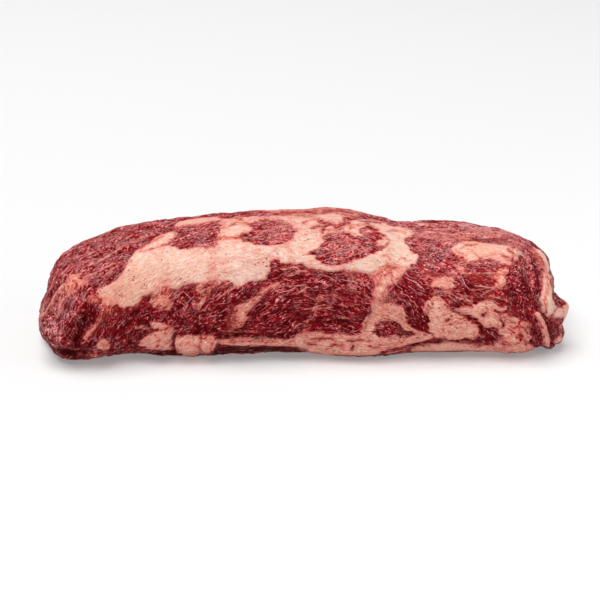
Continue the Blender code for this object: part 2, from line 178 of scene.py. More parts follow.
# Outlines and strokes of the shown side: what it is, how red it is from 0 to 1, width (0 for a filled
# outline), points in millimetres right and up from the middle of the view. A vein only reddens fat.
SHOWN = (
    # the big sheet of fat with its branches up to the crest and down to the junction
    ("fat", 0.10, 0, (
        (-115, 43), (-119, 40.5), (-126, 36), (-130, 30), (-132, 25), (-134, 21), (-138, 17), (-143, 13),
        (-149, 10), (-154, 8), (-154.5, 3), (-151, -1), (-152, -7), (-148, -6.5), (-144, -9), (-140, -4),
        (-134, -6), (-128, -6), (-123.5, -3), (-119, 2.7), (-113, 5), (-106, 8), (-99, 8), (-93, 8),
        (-88, 11), (-82, 12), (-77, 12), (-65, 15), (-55, 14), (-50, 11), (-45, 11), (-40, 13), (-33, 14),
        (-28, 15), (-25, 18), (-22, 21), (-23, 29), (-20, 31), (-17, 31), (-14, 28), (-12, 27), (-8, 28),
        (-3, 27), (3, 28), (6, 25), (15, 22.5), (22, 21.5), (28, 22), (33, 23.4), (38, 21.6), (47, 20.6),
        (53, 19.4), (57, 20), (62, 22), (70, 22), (78, 24), (84, 24), (88, 27), (91, 31), (90, 35),
        (85, 36), (83, 40), (80, 44), (80, 46), (84, 47), (88, 50), (86, 52), (82, 55), (70, 56), (63, 58),
        (50, 59), (41, 61.5), (34, 64.5), (25, 66), (17, 65), (10, 63), (0, 63.4), (-12, 64), (-25, 64),
        (-40, 63.4), (-50, 62.8), (-58, 62), (-66, 62.8), (-75, 62.8), (-85, 61), (-92, 59.4), (-95, 57),
        (-96, 54), (-94, 51), (-98, 52), (-105, 49.5), (-112, 46),
    )),
    ("fat", 0.85, 0, ((-162, 3), (-155, 4), (-152, 0), (-154, -3.4), (-160, -3))),
    ("fat", 0.2, 1.5, ((-119, 40), (-110, 45), (-102, 48.4))),
    ("lean", 0.5, 3.2, ((-101, 52.6), (-94, 53.4), (-88, 54))),
    ("vein", 0.8, 1.3, ((-121, 39), (-112, 43.8), (-104, 48))),
    ("vein", 0.75, 1.1, ((-121, 36), (-112, 38.5), (-105, 41), (-98, 42))),
    ("fat", 0.1, 1.3, ((-130, 23), (-124, 29), (-118, 34), (-108, 38), (-98, 40))),
    ("fat", 0.2, 1.0, ((-160, 27), (-150, 31), (-143, 35), (-137, 39))),
    ("fat", 0.2, 0.8, ((-165, 17), (-158, 20), (-150, 24), (-140, 28))),
    ("fat", 0.2, 0.6, ((-150, 18), (-143, 23), (-136, 29))),
    ("fat", -0.05, 0.6, ((-138, 40), (-125, 46), (-112, 51))),
    # lean islands in the sheet
    ("lean", 0.45, 0, (
        (-100, 43), (-95, 46), (-92, 50), (-95, 54), (-90, 55.5), (-80, 56.5), (-73, 57.5), (-63, 60),
        (-60, 57), (-62, 54), (-61, 52), (-64, 49), (-63, 46), (-63, 42), (-66, 40), (-72, 40), (-80, 39.5),
        (-86, 38.5), (-93, 39), (-97, 41),
    )),
    ("vein", 0.95, 1.7, ((-64, 46), (-55, 46.8), (-44, 46.6))),
    ("lean", 0.5, 0, (
        (-46, 48), (-44, 50), (-38, 51), (-36, 54), (-41, 57), (-32, 59), (-25, 61), (-15, 60), (-8, 57.5),
        (-5, 55), (-1, 52), (-5, 49), (-6, 46), (-10, 44), (-20, 41.5), (-32, 42), (-38, 44), (-45, 46),
    )),
    ("fat", 0.1, 1.1, ((-24, 47), (-17, 50), (-9, 50.5))),
    ("fat", 0.35, 0.8, ((-36, 47), (-28, 52), (-20, 54))),
    ("fat", 0.45, 1, ((-57, 55), (-48, 58.5), (-40, 58))),
    ("fat", 0.85, 1.0, ((16, 53), (24, 52.4), (33, 54))),
    ("lean", 0.6, 1.4, ((17, 51), (19, 56), (24, 57))),
    ("fat", 0.85, 0.9, ((38, 53.4), (44, 57), (52, 57.6))),
    ("lean", 0.5, 0, (
        (6, 35), (13, 38), (17, 41), (18, 46), (20, 50), (30, 51), (38, 51), (42, 48), (48, 48), (50, 51),
        (58, 52), (64, 49), (63, 46), (58, 45), (58, 41), (64, 41), (60, 37), (55, 35), (50, 33), (45, 31),
        (40, 30), (35, 27.5), (27, 26), (20, 27), (15, 29), (12, 31), (9, 34),
    )),
    ("fat", 0.15, 0.8, ((14, 33), (24, 37), (36, 38), (46, 42))),
    ("fat", 0.25, 0.7, ((22, 42), (32, 45), (44, 46))), ("fat", 0.15, 0.6, ((30, 30), (40, 34), (52, 38))),
    ("lean", 0.6, 1.7, ((10, 54.5), (14, 56), (18, 55))),
    ("lean", 0.5, 2.2, ((14, 60), (20, 58), (26, 57))), ("lean", 0.5, 2.4, ((27, 55), (32, 57), (37, 58))),
    ("vein", 0.75, 1.3, ((37, 56), (45, 56))), ("lean", 0.55, 3.2, ((47, 52), (52, 55), (58, 53))),
    ("lean", 0.6, 2.6, ((34, 61), (45, 62.3), (60, 61))),
    ("vein", 0.75, 1.2, ((2, 58), (8, 60.5), (12, 61))),
    ("vein", 0.75, 1.0, ((66, 52), (74, 52.5), (80, 50.5))),
    ("fat", 0.15, 1, ((45, 60.5), (58, 60), (66, 58))),
    ("vein", 0.75, 1.2, ((-60, 62.5), (-50, 61.6), (-44, 61))),
    ("lean", 0.55, 1.6, ((-45, 66), (-30, 65.2), (-10, 65.5))),
    ("fat", 0.15, 1.3, ((-6, 64.5), (10, 64.3), (28, 64.2))),
    ("fat", 0.55, 0, (
        (-34, 68), (-20, 66.2), (-8, 65), (4, 64.6), (17, 65.5), (30, 65), (40, 63), (48, 65), (42, 71),
        (12, 75), (-16, 73), (-34, 70.5),
    )),
    ("lean", 0.8, 1.3, ((-14, 66.4), (0, 67), (12, 66.2))),
    ("lean", 0.8, 1.0, ((18, 66.6), (28, 67.4), (40, 65.4))),
    # column beside the right island: islets and a broken outline
    ("vein", 0.75, 1.4, ((64, 40), (68, 44), (64, 48))),
    ("vein", 0.75, 0.9, ((62, 33), (66, 33.5), (69, 31), (67, 29))),
    ("vein", 0.75, 0.8, ((74, 29), (77, 32), (82, 29))),
    # the junction: red and salmon strands with cream cores
    ("fat", 0.64, 0, (
        (57, 21), (60, 25), (68, 28), (76, 26), (80, 22), (78, 18), (72, 12), (67, 8), (67, 3), (62, -2),
        (55, -2), (54, 5), (57, 10), (56, 15), (53, 18),
    )),
    ("fat", 0.25, 3.6, ((61, 8), (64, 11), (67, 15))), ("fat", 0.35, 3.2, ((70, 18), (75, 21), (80, 24))),
    ("vein", 1.25, 1.0, ((57, 18), (61, 20), (66, 24), (72, 24))),
    ("vein", 1.25, 0.9, ((55, 9), (60, 13), (61, 18), (66, 19))),
    ("vein", 1.25, 0.8, ((66, 22), (70, 20), (70, 15), (74, 16))),
    # the long lower fat, from the middle to the right, around the small eye
    ("fat", 0.42, 0, (
        (-2, -26), (6, -21), (8, -24), (15, -24), (20, -26), (33, -25), (36, -27), (40, -27), (45, -25),
        (48, -22), (50, -15), (53, -8), (55, -3), (59, -1), (65, -2), (72, -3), (78, -6), (81, -12),
        (82, -18), (86, -22), (93, -24), (99, -26), (101, -30), (92, -33), (84, -36), (75, -39), (63, -41),
        (45, -43), (20, -42), (0, -39.5), (-4, -34), (-10, -33),
    )),
    ("lean", 0.15, 0, (
        (56.5, -24), (57, -20), (60, -16.6), (66, -15.6), (71, -16), (75, -18), (77, -21), (81, -23),
        (86, -23.6), (88, -25), (86, -27), (80, -28), (73, -29), (66, -28), (60, -28),
    )),
    ("lean", 0.5, 2.3, ((62, -40), (72, -37.5), (85, -34.6), (95, -32), (101, -30))),
    ("vein", 1.25, 1.2, ((-5, -24), (2, -24), (6, -23))),
    ("vein", 1.25, 0.7, ((12, -31), (20, -29), (27, -30.5))), ("vein", 1.25, 1.3, ((39, -37), (41, -35))),
    ("vein", 1.25, 0.8, ((20, -37), (24, -35))), ("lean", 0.9, 0.7, ((9, -29.4), (17, -28.6), (24, -29.2))),
    ("lean", 0.9, 0.6, ((36, -31), (45, -30.4), (53, -31.4))),
    ("lean", 0.9, 0.6, ((25, -33.6), (33, -34.4))), ("lean", 0.9, 0.9, ((39.6, -36.8), (40.6, -34.4))),
    ("lean", 0.9, 0.6, ((5, -32.6), (12, -34))), ("lean", 0.9, 0.6, ((52, -34.6), (60, -36))),
    ("fat", 0.40, 0, (
        (-62, -29.5), (-45, -29.5), (-30, -29), (-12, -30), (0, -28), (4, -36), (-10, -35.6), (-30, -34.8),
        (-45, -35.2), (-62, -33.8),
    )),
    ("vein", 1.25, 0.7, ((-52, -31), (-36, -31), (-20, -31.5))),
    # nodules and pads of the lower left
    ("fat", 0.5, 0, (
        (-116, -17), (-108, -16), (-103, -18), (-97, -19), (-96, -22), (-97, -28), (-98, -33), (-97, -38),
        (-105, -38), (-115, -37), (-123, -34), (-120, -30), (-113, -25), (-110, -23), (-112, -20),
    )),
    ("vein", 1.25, 1.3, ((-114, -24), (-106, -22.5), (-98, -20))),
    ("vein", 1.25, 1.2, ((-110, -27), (-107, -31), (-109, -35))),
    ("fat", 0.42, 0, (
        (-94, -27.5), (-85, -27), (-75, -27), (-67, -27), (-63, -30), (-64, -36), (-70, -40), (-80, -43),
        (-88, -42), (-94, -39), (-95.5, -32),
    )),
    ("vein", 1.25, 0.9, ((-76, -27), (-75, -31), (-77, -35), (-73, -40))),
    ("vein", 1.25, 0.7, ((-92, -33), (-84, -33), (-78, -35))),
    ("vein", 1.25, 0.7, ((-72, -30), (-67, -33), (-68, -38))),
    ("fat", 0.5, 0, (
        (-154, -34), (-153, -30.5), (-149, -29.3), (-145, -30.5), (-143.5, -34), (-145, -37.5), (-149, -39),
        (-153, -37.5),
    )),
    ("vein", 0.75, 1.4, ((-151, -32.6), (-149, -35), (-147, -33.6))),
    # salmon lobe under the sheet
    ("fat", 0.74, 0, (
        (-113, 5), (-109, 9), (-103, 10), (-98, 8), (-97, 4), (-99, 1), (-97, -3), (-96, -7), (-100, -9),
        (-105, -8), (-110, -6), (-115, -2),
    )),
    ("fat", 0.5, 1.8, ((-112, 3), (-106, 8), (-101, 9))),
    ("vein", 1.25, 0.9, ((-112, 1), (-105, 4), (-99, 5))),
    # pink passage beside the dark muscle
    ("fat", 0.55, 0, (
        (-80, 12), (-70, 14), (-62, 14.5), (-58, 13), (-64, 10), (-69, 6), (-70, 2), (-73, -2), (-76, -8),
        (-79, -10), (-78, -3), (-75, 1), (-77, 4), (-81, 8),
    )),
    ("lean", 0.5, 1.3, ((-74, 9), (-70, 11), (-64, 12))), ("lean", 0.2, 1.6, ((-72, 5.4), (-69.5, 4.6))),
    ("fat", 0.5, 0.8, ((-66, 6), (-60, 10), (-54, 13))), ("fat", 0.5, 0.8, ((-63, 1), (-56, 6), (-50, 10))),
    ("fat", 1.5, 1.6, ((-80, 1), (-78, 3), (-80, 6))), ("vein", 1.25, 1.3, ((-75, 3), (-71, 2), (-70, -1))),
    # the forked fat in the dark muscle
    ("fat", 0.66, 0, (
        (-53, -22), (-51, -14), (-51, -8), (-48, -4), (-43, -2), (-38, 0), (-33, 4), (-28, 9), (-22, 12),
        (-14, 13.5), (-19, 9), (-27, 5), (-31, 0), (-36, -5), (-39, -10), (-40, -15), (-42, -19),
        (-47, -21),
    )),
    ("fat", 1.4, 1.8, ((-54, -21), (-54, -12), (-51, -5))),
    ("vein", 1.25, 0.9, ((-48, -20), (-50, -12), (-48, -7))),
    # strands through the dark muscle
    ("fat", 0.4, 0.4, ((5, -18), (10, -8), (14, 0), (20, 3))),
    ("fat", 0.1, 0.7, ((17, 19), (23, 16), (28, 14))), ("fat", 0.25, 0.7, ((-10, 19), (-3, 21.5), (5, 22))),
    ("fat", 0.35, 0.6, ((-8, 4), (0, 6), (5, 9))), ("fat", 0.4, 0.4, ((12, 1), (20, 4), (28, 3))),
    ("fat", 0.25, 0.6, ((10, -6), (18, -6.5), (25, -5))),
    ("fat", 0.25, 0.6, ((33, 20), (40, 17), (48, 14))), ("fat", 0.35, 0.9, ((-15, 13), (-6, 10), (4, 12))),
    ("fat", 0.15, 0.6, ((-14, 24), (-8, 22), (-4, 24))),
    ("fat", 0.8, 0.5, ((-60, -23), (-48, -25), (-36, -24))),
    ("fat", 0.25, 0.9, ((-5, -22), (0, -18), (4, -19))),
    ("fat", 0.5, 0.4, ((20, -15), (28, -13), (38, -14))),
    ("fat", 0.35, 0.6, ((30, -3), (38, -5), (46, -3))), ("fat", 0.45, 0.6, ((28, 9), (38, 8), (50, 4))),
    ("fat", 0.45, 0.6, ((-90, 2), (-86, -4), (-88, -10))),
    # the broad pad right of the middle
    ("fat", 0.42, 0, (
        (96, -1), (100, 2), (105, 3), (108, 1), (111, -2), (113, -5), (116, -8), (120, -10), (125, -12),
        (129, -16), (136, -21), (138, -23), (137, -27), (133, -30), (127, -30), (112, -31), (105, -29),
        (100, -27), (98, -20), (98, -12), (95, -9),
    )),
    ("vein", 1.25, 1.3, ((107.5, -11.5), (108.5, -10.5))), ("lean", 0.5, 1.5, ((111, -16), (113, -15))),
    ("lean", 0.3, 1.6, ((104, -29.6), (108, -30), (111, -29.8))),
    ("lean", 0.3, 1.6, ((125, -29.4), (131, -31), (136, -30))),
    ("fat", 0.35, 0, (
        (84, -40), (84, -36), (92, -34.4), (101, -32.6), (112, -31.6), (124, -32.4), (134, -33.6),
        (146, -34), (158, -37), (160, -42), (120, -42),
    )),
    ("lean", 0.3, 1.3, ((134, -34.6), (142, -33.6), (150, -35), (158, -37.4))),
    ("vein", 1.25, 0.8, ((116, -5), (122, -10), (130, -15), (137, -21), (138.5, -27))),
    # the ragged fat of the lower right corner
    ("fat", 0.40, 0, (
        (131, -6), (136, -3), (140, 0), (147, -1), (150, -5), (157, -6), (160, -12), (166, -14), (170, -17),
        (176, -19), (175, -24), (176, -28), (174, -33), (178, -36), (172, -40), (160, -40), (148, -36),
        (150, -31), (155, -28), (150, -25), (150, -21), (145, -20), (140, -21), (136, -17), (133, -14),
        (124, -10), (118, -7), (124, -5),
    )),
    ("lean", 0.4, 0, (
        (139, -22), (145, -21), (150, -23), (152, -27), (150, -30), (143, -31), (139, -29), (138, -26),
    )),
    ("lean", 0.3, 2.6, ((139, -11.5), (142, -10))), ("lean", 0.4, 2.4, ((148, -8), (152, -10), (157, -9))),
    ("lean", 0.3, 1.5, ((153, -15), (155, -18), (154, -21))), ("lean", 0.4, 1.0, ((158, -22), (161, -23))),
    ("lean", 0.4, 1.0, ((166, -26), (169, -27.4))), ("lean", 0.4, 0.9, ((153, -32), (156, -34))),
    ("lean", 0.4, 1.0, ((170, -30), (172, -33))), ("lean", 0.4, 0.9, ((160, -16.6), (163, -17.6))),
    ("lean", 0.4, 0.9, ((171, -22), (173, -25))), ("vein", 1.25, 1.4, ((157, -9), (160, -12))),
    ("vein", 1.25, 1.2, ((161, -25), (163, -24))), ("vein", 1.25, 1.0, ((164.5, -29), (166, -28))),
    ("vein", 1.25, 1.2, ((163, -21), (168, -20), (176, -21))),
    ("vein", 1.25, 0.9, ((150, -27), (156, -31), (161, -35))),
    ("vein", 1.25, 1.0, ((168, -15), (165, -20), (168, -25), (167, -31))),
    ("lean", 0.2, 0, ((175, -21), (180, -19), (184, -21), (186, -25), (183, -31), (178, -32), (175, -26))),
    ("fat", 0.2, 1.3, ((122, 1), (128, -1), (133, -4))),
    # fat of the upper right
    ("fat", 0.10, 0, (
        (114, 37), (116, 41), (120, 43.5), (126, 44.8), (134, 44.4), (142, 43), (150, 42), (158, 41),
        (164, 39.5), (169, 35), (170, 32.5), (166, 33.5), (165, 30), (158, 30.5), (152, 29), (150, 31),
        (143, 31), (137, 29.6), (130, 28.6), (125, 30), (122, 33), (117, 35),
    )),
    ("fat", 0.3, 0, ((150, 31), (156, 32), (163, 27), (158, 26.4), (152, 28.6))),
    ("fat", 1.6, 1.2, ((112, 29), (117, 30.5), (124, 31.6))),
    ("fat", 0.35, 0, ((119, 25), (122, 27.4), (124, 25), (122.6, 21.4), (119.4, 21.6))),
    ("fat", 1.6, 1.2, ((130, 46.4), (140, 46), (150, 45.8), (158, 46))),
    ("fat", 1.6, 0.9, ((112, 46), (122, 46.2), (130, 45.6))),
    ("fat", 0.1, 1.3, ((164, 38), (168, 36), (171, 32))),
    ("fat", 0.1, 1.8, ((148, 31.5), (155, 27.5), (160, 26))),
    ("vein", 0.75, 0.8, ((128, 38), (134, 34), (137, 31))),
    ("vein", 1.0, 0.9, ((158, 38), (162, 35), (161, 31))),
    ("vein", 0.9, 0.8, ((122, 38.6), (127, 41), (134, 41.6))),
    ("vein", 0.6, 0.8, ((142, 33), (148, 35), (154, 34.6))), ("lean", 0.9, 0.7, ((154, 33.4), (158, 31.8))),
    ("vein", 1.0, 0.8, ((163, 40), (160, 36.6), (163, 33))),
    ("vein", 0.95, 0.8, ((118, 38), (121, 35), (127, 33))),
    ("fat", 0.4, 1.2, ((118, 35), (123, 30), (126, 26))),
    ("fat", 0.3, 1.6, ((106, 50.5), (120, 49.5), (136, 50.5), (152, 48.5))),
    ("fat", 0.25, 1, ((108, 45.5), (118, 46.6), (130, 46.4))),
    ("fat", 0.25, 0.9, ((92, 54), (104, 54.5), (118, 53.6))),
    ("fat", 0.35, 0.8, ((128, 53.5), (142, 52.5), (158, 50))),
    ("fat", 0.35, 0.7, ((150, 45), (160, 45.5), (170, 42))),
    ("fat", 0.35, 0.7, ((86, 46), (96, 48), (106, 46.5))),
    ("fat", 0.4, 1, ((92, 21), (100, 19), (108, 20), (117, 19))),
    ("fat", 0.5, 1.3, ((96, 17), (106, 15.5), (117, 17.5))),
    ("fat", 0.5, 0, ((97, 12), (102, 15), (110, 18), (115, 18), (117, 13), (117, 9), (110, 8), (102, 10))),
    ("fat", 0.5, 1.8, ((117, 26.5), (121, 24), (124, 21))),
    ("fat", 0.55, 0.8, ((100, 4.5), (108, 7), (116, 5))),
    ("fat", 0.75, 0, (
        (144, 17), (148, 19), (150, 24), (157, 26), (159, 22), (156, 16), (156, 10), (150, 9), (147, 12),
    )),
    ("fat", 0.35, 0, ((150, 12), (153, 18), (156, 18), (155, 11))),
    ("fat", 1.6, 0, ((130, 13), (131, 19), (136, 18), (139, 14), (135, 12))),
    ("fat", 1.6, 0, ((140, 13), (143, 17.4), (148, 15), (148, 11.6), (142, 11.8))),
    ("fat", 1.5, 1.6, ((132, 5), (138, 2.5), (146, 2))),
    ("fat", 1.5, 1.2, ((96, 20.4), (104, 19), (112, 20))),
    ("fat", 1.5, 1.0, ((150, 24.6), (156, 26.4), (160, 25))),
    ("fat", 0.3, 1.1, ((123, 20), (136, 20.5), (150, 20.5), (158, 22))),
    ("fat", 0.35, 1.1, ((133, 11), (145, 9.5), (157, 9))), ("fat", 0.35, 1, ((135, 2), (142, 6), (148, 9))),
    ("fat", 0.4, 1, ((118, 6), (124, 3), (131, 2))), ("fat", 0.45, 1, ((144, 3), (152, 2), (158, -1))),
    # right end: the pale strip, the rope of fat and the torn flaps
    ("fat", 0.0, 0, (
        (177, 40.5), (184, 38), (190, 34), (194, 26), (195, 20), (195, 12), (196, 4), (197, 1), (193, -3),
        (196, -6), (193, -7), (192, -12), (189, -13), (184, -9), (182.6, -2), (183, 6), (184, 12),
        (184.5, 20), (184.5, 27), (182, 33),
    )),
    ("fat", 0.9, 1.3, ((170, 41), (176, 38), (181, 32), (184.6, 26))),
    ("fat", 0.6, 1.4, ((182, 30), (186.5, 20), (187, 9), (186, -2), (187, -10))),
    ("fat", 1.6, 0.9, ((190, 22), (189, 12), (191.5, 8), (192, 2), (194, -3))),
    ("lean", 0.9, 0, (
        (191.5, 4), (195, 3.4), (199, 0.6), (203, -4.4), (199, -3.6), (195, -2.4), (191.6, -1),
    )),
    ("fat", 0.3, 3.6, ((180, -11), (184, -17), (187, -23.5), (188.6, -30), (188.4, -36))),
    ("fat", 0.3, 4.4, ((185, -22), (187.4, -28), (188, -36))),
    ("fat", 0.0, 0, ((194, -7), (199, -5.5), (205, -8), (205, -14), (200, -15), (196, -14), (192, -13))),
    ("fat", 0.7, 1.6, ((190, -13), (195, -16.5), (200, -17))),
    ("fat", 0.15, 3.0, ((199.5, -17), (199.5, -23), (199, -28), (195, -32))),
    # left end: the salmon patch and the folds that run down from it
    ("fat", 0.72, 0, (
        (-178, 12), (-176, 19), (-172, 21), (-166, 20), (-168, 17), (-160, 15), (-162, 12), (-168, 9),
        (-172, 4), (-176, 4), (-180, 8),
    )),
    ("vein", 1.25, 1.0, ((-176, 16), (-171, 14), (-169, 10))),
    ("fat", 0.45, 2.2, ((-179, 11), (-184, 5), (-188, -1.6), (-193, -9), (-197, -14))),
    ("fat", 0.5, 1.5, ((-175, 4), (-179, 2), (-181.5, -2), (-183, -7), (-185, -13))),
    ("fat", 0.75, 3.0, ((-150, -7), (-151.5, -13), (-156, -20), (-160, -25), (-163.5, -29))),
    ("fat", 1.6, 1.2, ((-146, -9), (-150, -17), (-155, -23.5), (-160, -31))),
    ("fat", 0.5, 0, ((-152, -4), (-150, -12), (-147, -8), (-144, -13), (-141, -7), (-142, -3))),
    ("fat", 1.7, 0, (
        (-142, -5), (-138, -4.5), (-133, -6), (-127, -6.4), (-128, -9.5), (-135, -10), (-141, -9),
    )),
    ("fat", 1.7, 0, ((-122, -2), (-118, 2), (-116.6, -1), (-118, -6), (-121, -7))),
    ("fat", 0.3, 1.0, ((-125, -21.8), (-122, -21.2), (-118.6, -21.6))),
    ("fat", 0.55, 1.2, ((-168, -42.6), (-162, -43), (-155, -42.4))),
    ("fat", 0.35, 0.7, ((-126, -21), (-120, -20), (-114, -22))),
)

# The far side: millimetres along X, and round the skin from the top's middle line towards the back
FAR = (
    ("fat", 0.45, 0, ((-16, 4), (-2, -12), (18, -16), (34, -10), (42, 4), (34, 18), (10, 24), (-10, 18))),
    ("fat", 0.15, 0, (
        (-172, 44), (-150, 38), (-118, 50), (-84, 44), (-50, 56), (-14, 50), (30, 60), (70, 54), (110, 66),
        (150, 60), (176, 72), (160, 86), (120, 92), (92, 84), (54, 90), (16, 80), (-20, 86), (-58, 78),
        (-92, 82), (-128, 70), (-160, 62),
    )),
    ("lean", 0.5, 0, ((-110, 58), (-92, 54), (-70, 60), (-62, 68), (-80, 73), (-104, 68))),
    ("lean", 0.5, 0, ((20, 66), (44, 64), (66, 68), (62, 78), (40, 80), (22, 75))),
    ("lean", 0.5, 3.0, ((-40, 68), (-22, 66), (-6, 70))),
    ("fat", 0.35, 0, (
        (-138, 112), (-112, 100), (-84, 106), (-56, 98), (-24, 108), (6, 104), (20, 114), (4, 128),
        (-30, 134), (-76, 128), (-110, 134), (-136, 126),
    )),
    ("lean", 0.5, 0, ((-84, 114), (-64, 110), (-46, 116), (-56, 123), (-78, 121))),
    ("fat", 0.4, 0, (
        (58, 106), (84, 100), (112, 106), (138, 102), (150, 114), (130, 126), (98, 122), (66, 128),
    )),
    ("fat", 0.3, 0, ((-40, 26), (-8, 20), (30, 28), (66, 24), (82, 34), (52, 42), (14, 38), (-26, 40))),
    ("lean", 0.6, 2.6, ((-14, 31), (12, 29), (36, 34))),
    ("fat", 0.6, 1.6, ((-120, 88), (-90, 92), (-60, 90))), ("fat", 0.6, 1.6, ((0, 94), (40, 98), (70, 96))),
    ("fat", 0.6, 1.4, ((100, 40), (128, 46), (150, 44))),
    ("fat", 0.6, 1.4, ((-150, 84), (-140, 96), (-146, 108))),
    ("fat", 0.5, 2.4, ((-184, 60), (-176, 84), (-180, 104))),
    ("fat", 0.5, 2.0, ((176, 44), (184, 66), (180, 92))),
    ("fat", 0.6, 1.3, ((-100, 30), (-76, 36), (-54, 34))),
    ("fat", 0.6, 1.8, ((-178, 26), (-150, 14), (-122, 20), (-104, 14))),
    ("fat", 0.5, 0, ((-146, 22), (-132, 18), (-118, 24), (-130, 31), (-144, 30))),
)

# The underside: millimetres along X and Y
UNDER = (
    ("fat", 0.5, 0, ((-130, -36), (-80, -44), (-20, -38), (-30, -26), (-90, -22), (-134, -26))),
    ("fat", 0.45, 0, ((10, 10), (60, 2), (120, 14), (150, 34), (100, 44), (40, 34))),
    ("fat", 0.5, 0, ((-150, 10), (-120, -4), (-86, 6), (-70, 26), (-104, 36), (-140, 30))),
    ("lean", 0.5, 3.0, ((50, 16), (80, 20), (110, 28))),
    ("fat", 0.55, 3.0, ((40, -50), (90, -40), (150, -46))),
    ("fat", 0.6, 2.4, ((-60, -14), (-10, -20), (40, -12))),
    ("fat", 0.6, 2.4, ((-50, 48), (0, 40), (30, 52))),
)

# The cut right end: millimetres along Y and Z
RIGHT_END = (
    ("fat", 0.35, 3.4, ((-60, 38), (-34, 40), (-8, 44), (14, 38), (40, 46), (60, 44))),
    ("fat", 0.40, 2.6, ((-8, 44), (-12, 58), (-4, 74))),
    ("fat", 0.35, 3.0, ((14, 38), (10, 22), (22, 8), (24, 0))),
    ("fat", 0.45, 2.2, ((-60, 18), (-38, 22), (-16, 18), (10, 22))),
    ("fat", 0.40, 0, ((-30, 2), (-14, 6), (0, 2), (-4, -4), (-26, -4))),
    ("fat", 0.5, 1.4, ((24, 26), (38, 28), (50, 22))),
    ("fat", 0.15, 0, ((-48, 24), (-44, 33), (-34, 36), (-24, 33), (-22, 25), (-34, 22))),
    ("fat", 0.25, 3.0, ((-50, 12), (-40, 8), (-28, 11))),
    ("fat", 0.25, 0, (
        (-75, 60), (-50, 72), (-20, 72), (5, 66), (0, 52), (-20, 42), (-32, 29), (-60, 27), (-75, 42),
    )),
    ("lean", 0.5, 0, ((-47, 36), (-40, 43), (-28, 44), (-20, 39), (-27, 35), (-38, 33.6))),
)

# The rounded left end: millimetres along Y and Z
LEFT_END = (
    ("fat", 0.55, 3.0, ((-70, 22), (-44, 30), (-20, 26), (8, 34), (36, 30))),
    ("fat", 0.60, 2.2, ((-20, 26), (-26, 46), (-14, 62), (-18, 78))),
    ("fat", 0.5, 0, ((4, 44), (22, 40), (40, 46), (34, 58), (12, 60))),
    ("lean", 0.5, 2.4, ((14, 50), (26, 48), (32, 52))), ("fat", 0.6, 2.0, ((8, 34), (14, 16), (28, 6))),
    ("fat", 0.7, 1.4, ((-56, 10), (-40, 14), (-24, 8))),
)

# Sinew strands that the shown side has: thickness, points in the view
SHOWN_STRANDS = (
    (0.4, ((-89, 7), (-86, 4), (-83, 1))), (0.3, ((-93, -1), (-89, -3), (-86, -7))),
    (0.6, ((116, 21.5), (119, 17.7), (126, 11), (131, 7))), (0.5, ((122, 19.8), (124.5, 14), (128, 8.2))),
    (0.6, ((129.6, 7), (138, 8), (148, 9.6))), (0.6, ((133, 11), (140, 9.8), (147, 9))),
    (0.6, ((147, 9.2), (142, 6), (136, 2.4))), (0.4, ((144, 9), (150, 10.4), (155, 10.2))),
    (0.6, ((-21, 9), (-16, 5.8), (-8, 7.4), (-2.4, 11))), (0.5, ((-2.4, 4), (2.6, 8.4), (8.5, 10))),
    (0.7, ((17.8, 19.3), (23, 17.2), (28, 14.2))), (0.6, ((17.8, 19), (13.6, 15.5), (9.4, 12.6))),
    (0.6, ((31, 15.6), (39, 14.2), (45, 13))), (0.5, ((12.8, 0.8), (19.5, -0.9), (23, -2.6))),
    (0.35, ((-1, -5.6), (10, -6.9), (23, -5.2))),
    (0.6, ((6, -16), (10.2, -12.8), (12, -8.5), (15.3, -5.2))), (0.4, ((-59, 6), (-62, 4), (-65, 1.6))),
    (0.4, ((-55.6, -6), (-58, -8), (-60.7, -9.4))),
    (0.6, ((-11, 19), (-5.8, 18.4), (0, 22.6), (-5.8, 25.2), (-9.2, 22.6))),
    (0.4, ((40, -20.4), (40.6, -25.4), (45, -27))), (0.4, ((36.4, -25.4), (42.3, -23.7), (46.6, -21.2))),
    (0.4, ((28.8, -7.7), (31, -10), (34, -12))), (0.5, ((72, 13), (75, 10), (78, 8))),
    (0.6, ((79.5, 17.5), (84, 15), (89, 12.5))), (0.4, ((78, 5), (82, 3), (85, -1))),
    (0.4, ((82, 11), (86, 8), (89, 4))), (0.4, ((86, 15), (90, 12), (93, 9))),
    (0.4, ((76, 1), (80, -1), (82, -5))), (0.6, ((113, 48.5), (118, 48), (122, 47.4))),
    (0.6, ((134, 50.6), (138, 52), (143, 52.2))), (0.6, ((104, 52), (112, 53), (121, 52.4))),
    (0.5, ((146, 49), (155, 48.4), (163, 46))), (0.5, ((98, 30), (104, 27), (110, 26))),
    (0.5, ((92, 44), (97, 41), (103, 40))), (0.6, ((-130, 42), (-120, 46), (-108, 51))),
    (0.5, ((-158, 26), (-149, 31), (-140, 37))), (0.5, ((-163, 17), (-154, 21), (-145, 27))),
    (0.4, ((-84, 47), (-76, 50), (-68, 52))), (0.5, ((-30, 46), (-20, 49.4), (-10, 51))),
    (0.5, ((24, 34), (34, 36), (44, 40))), (0.4, ((14, 40), (22, 44), (32, 45))),
    (0.5, ((58, 24), (66, 27), (74, 25), (79, 21))), (0.6, ((55, 4), (58, 12), (57, 19))),
    (0.5, ((64, -1), (67, 6), (73, 12))),
)

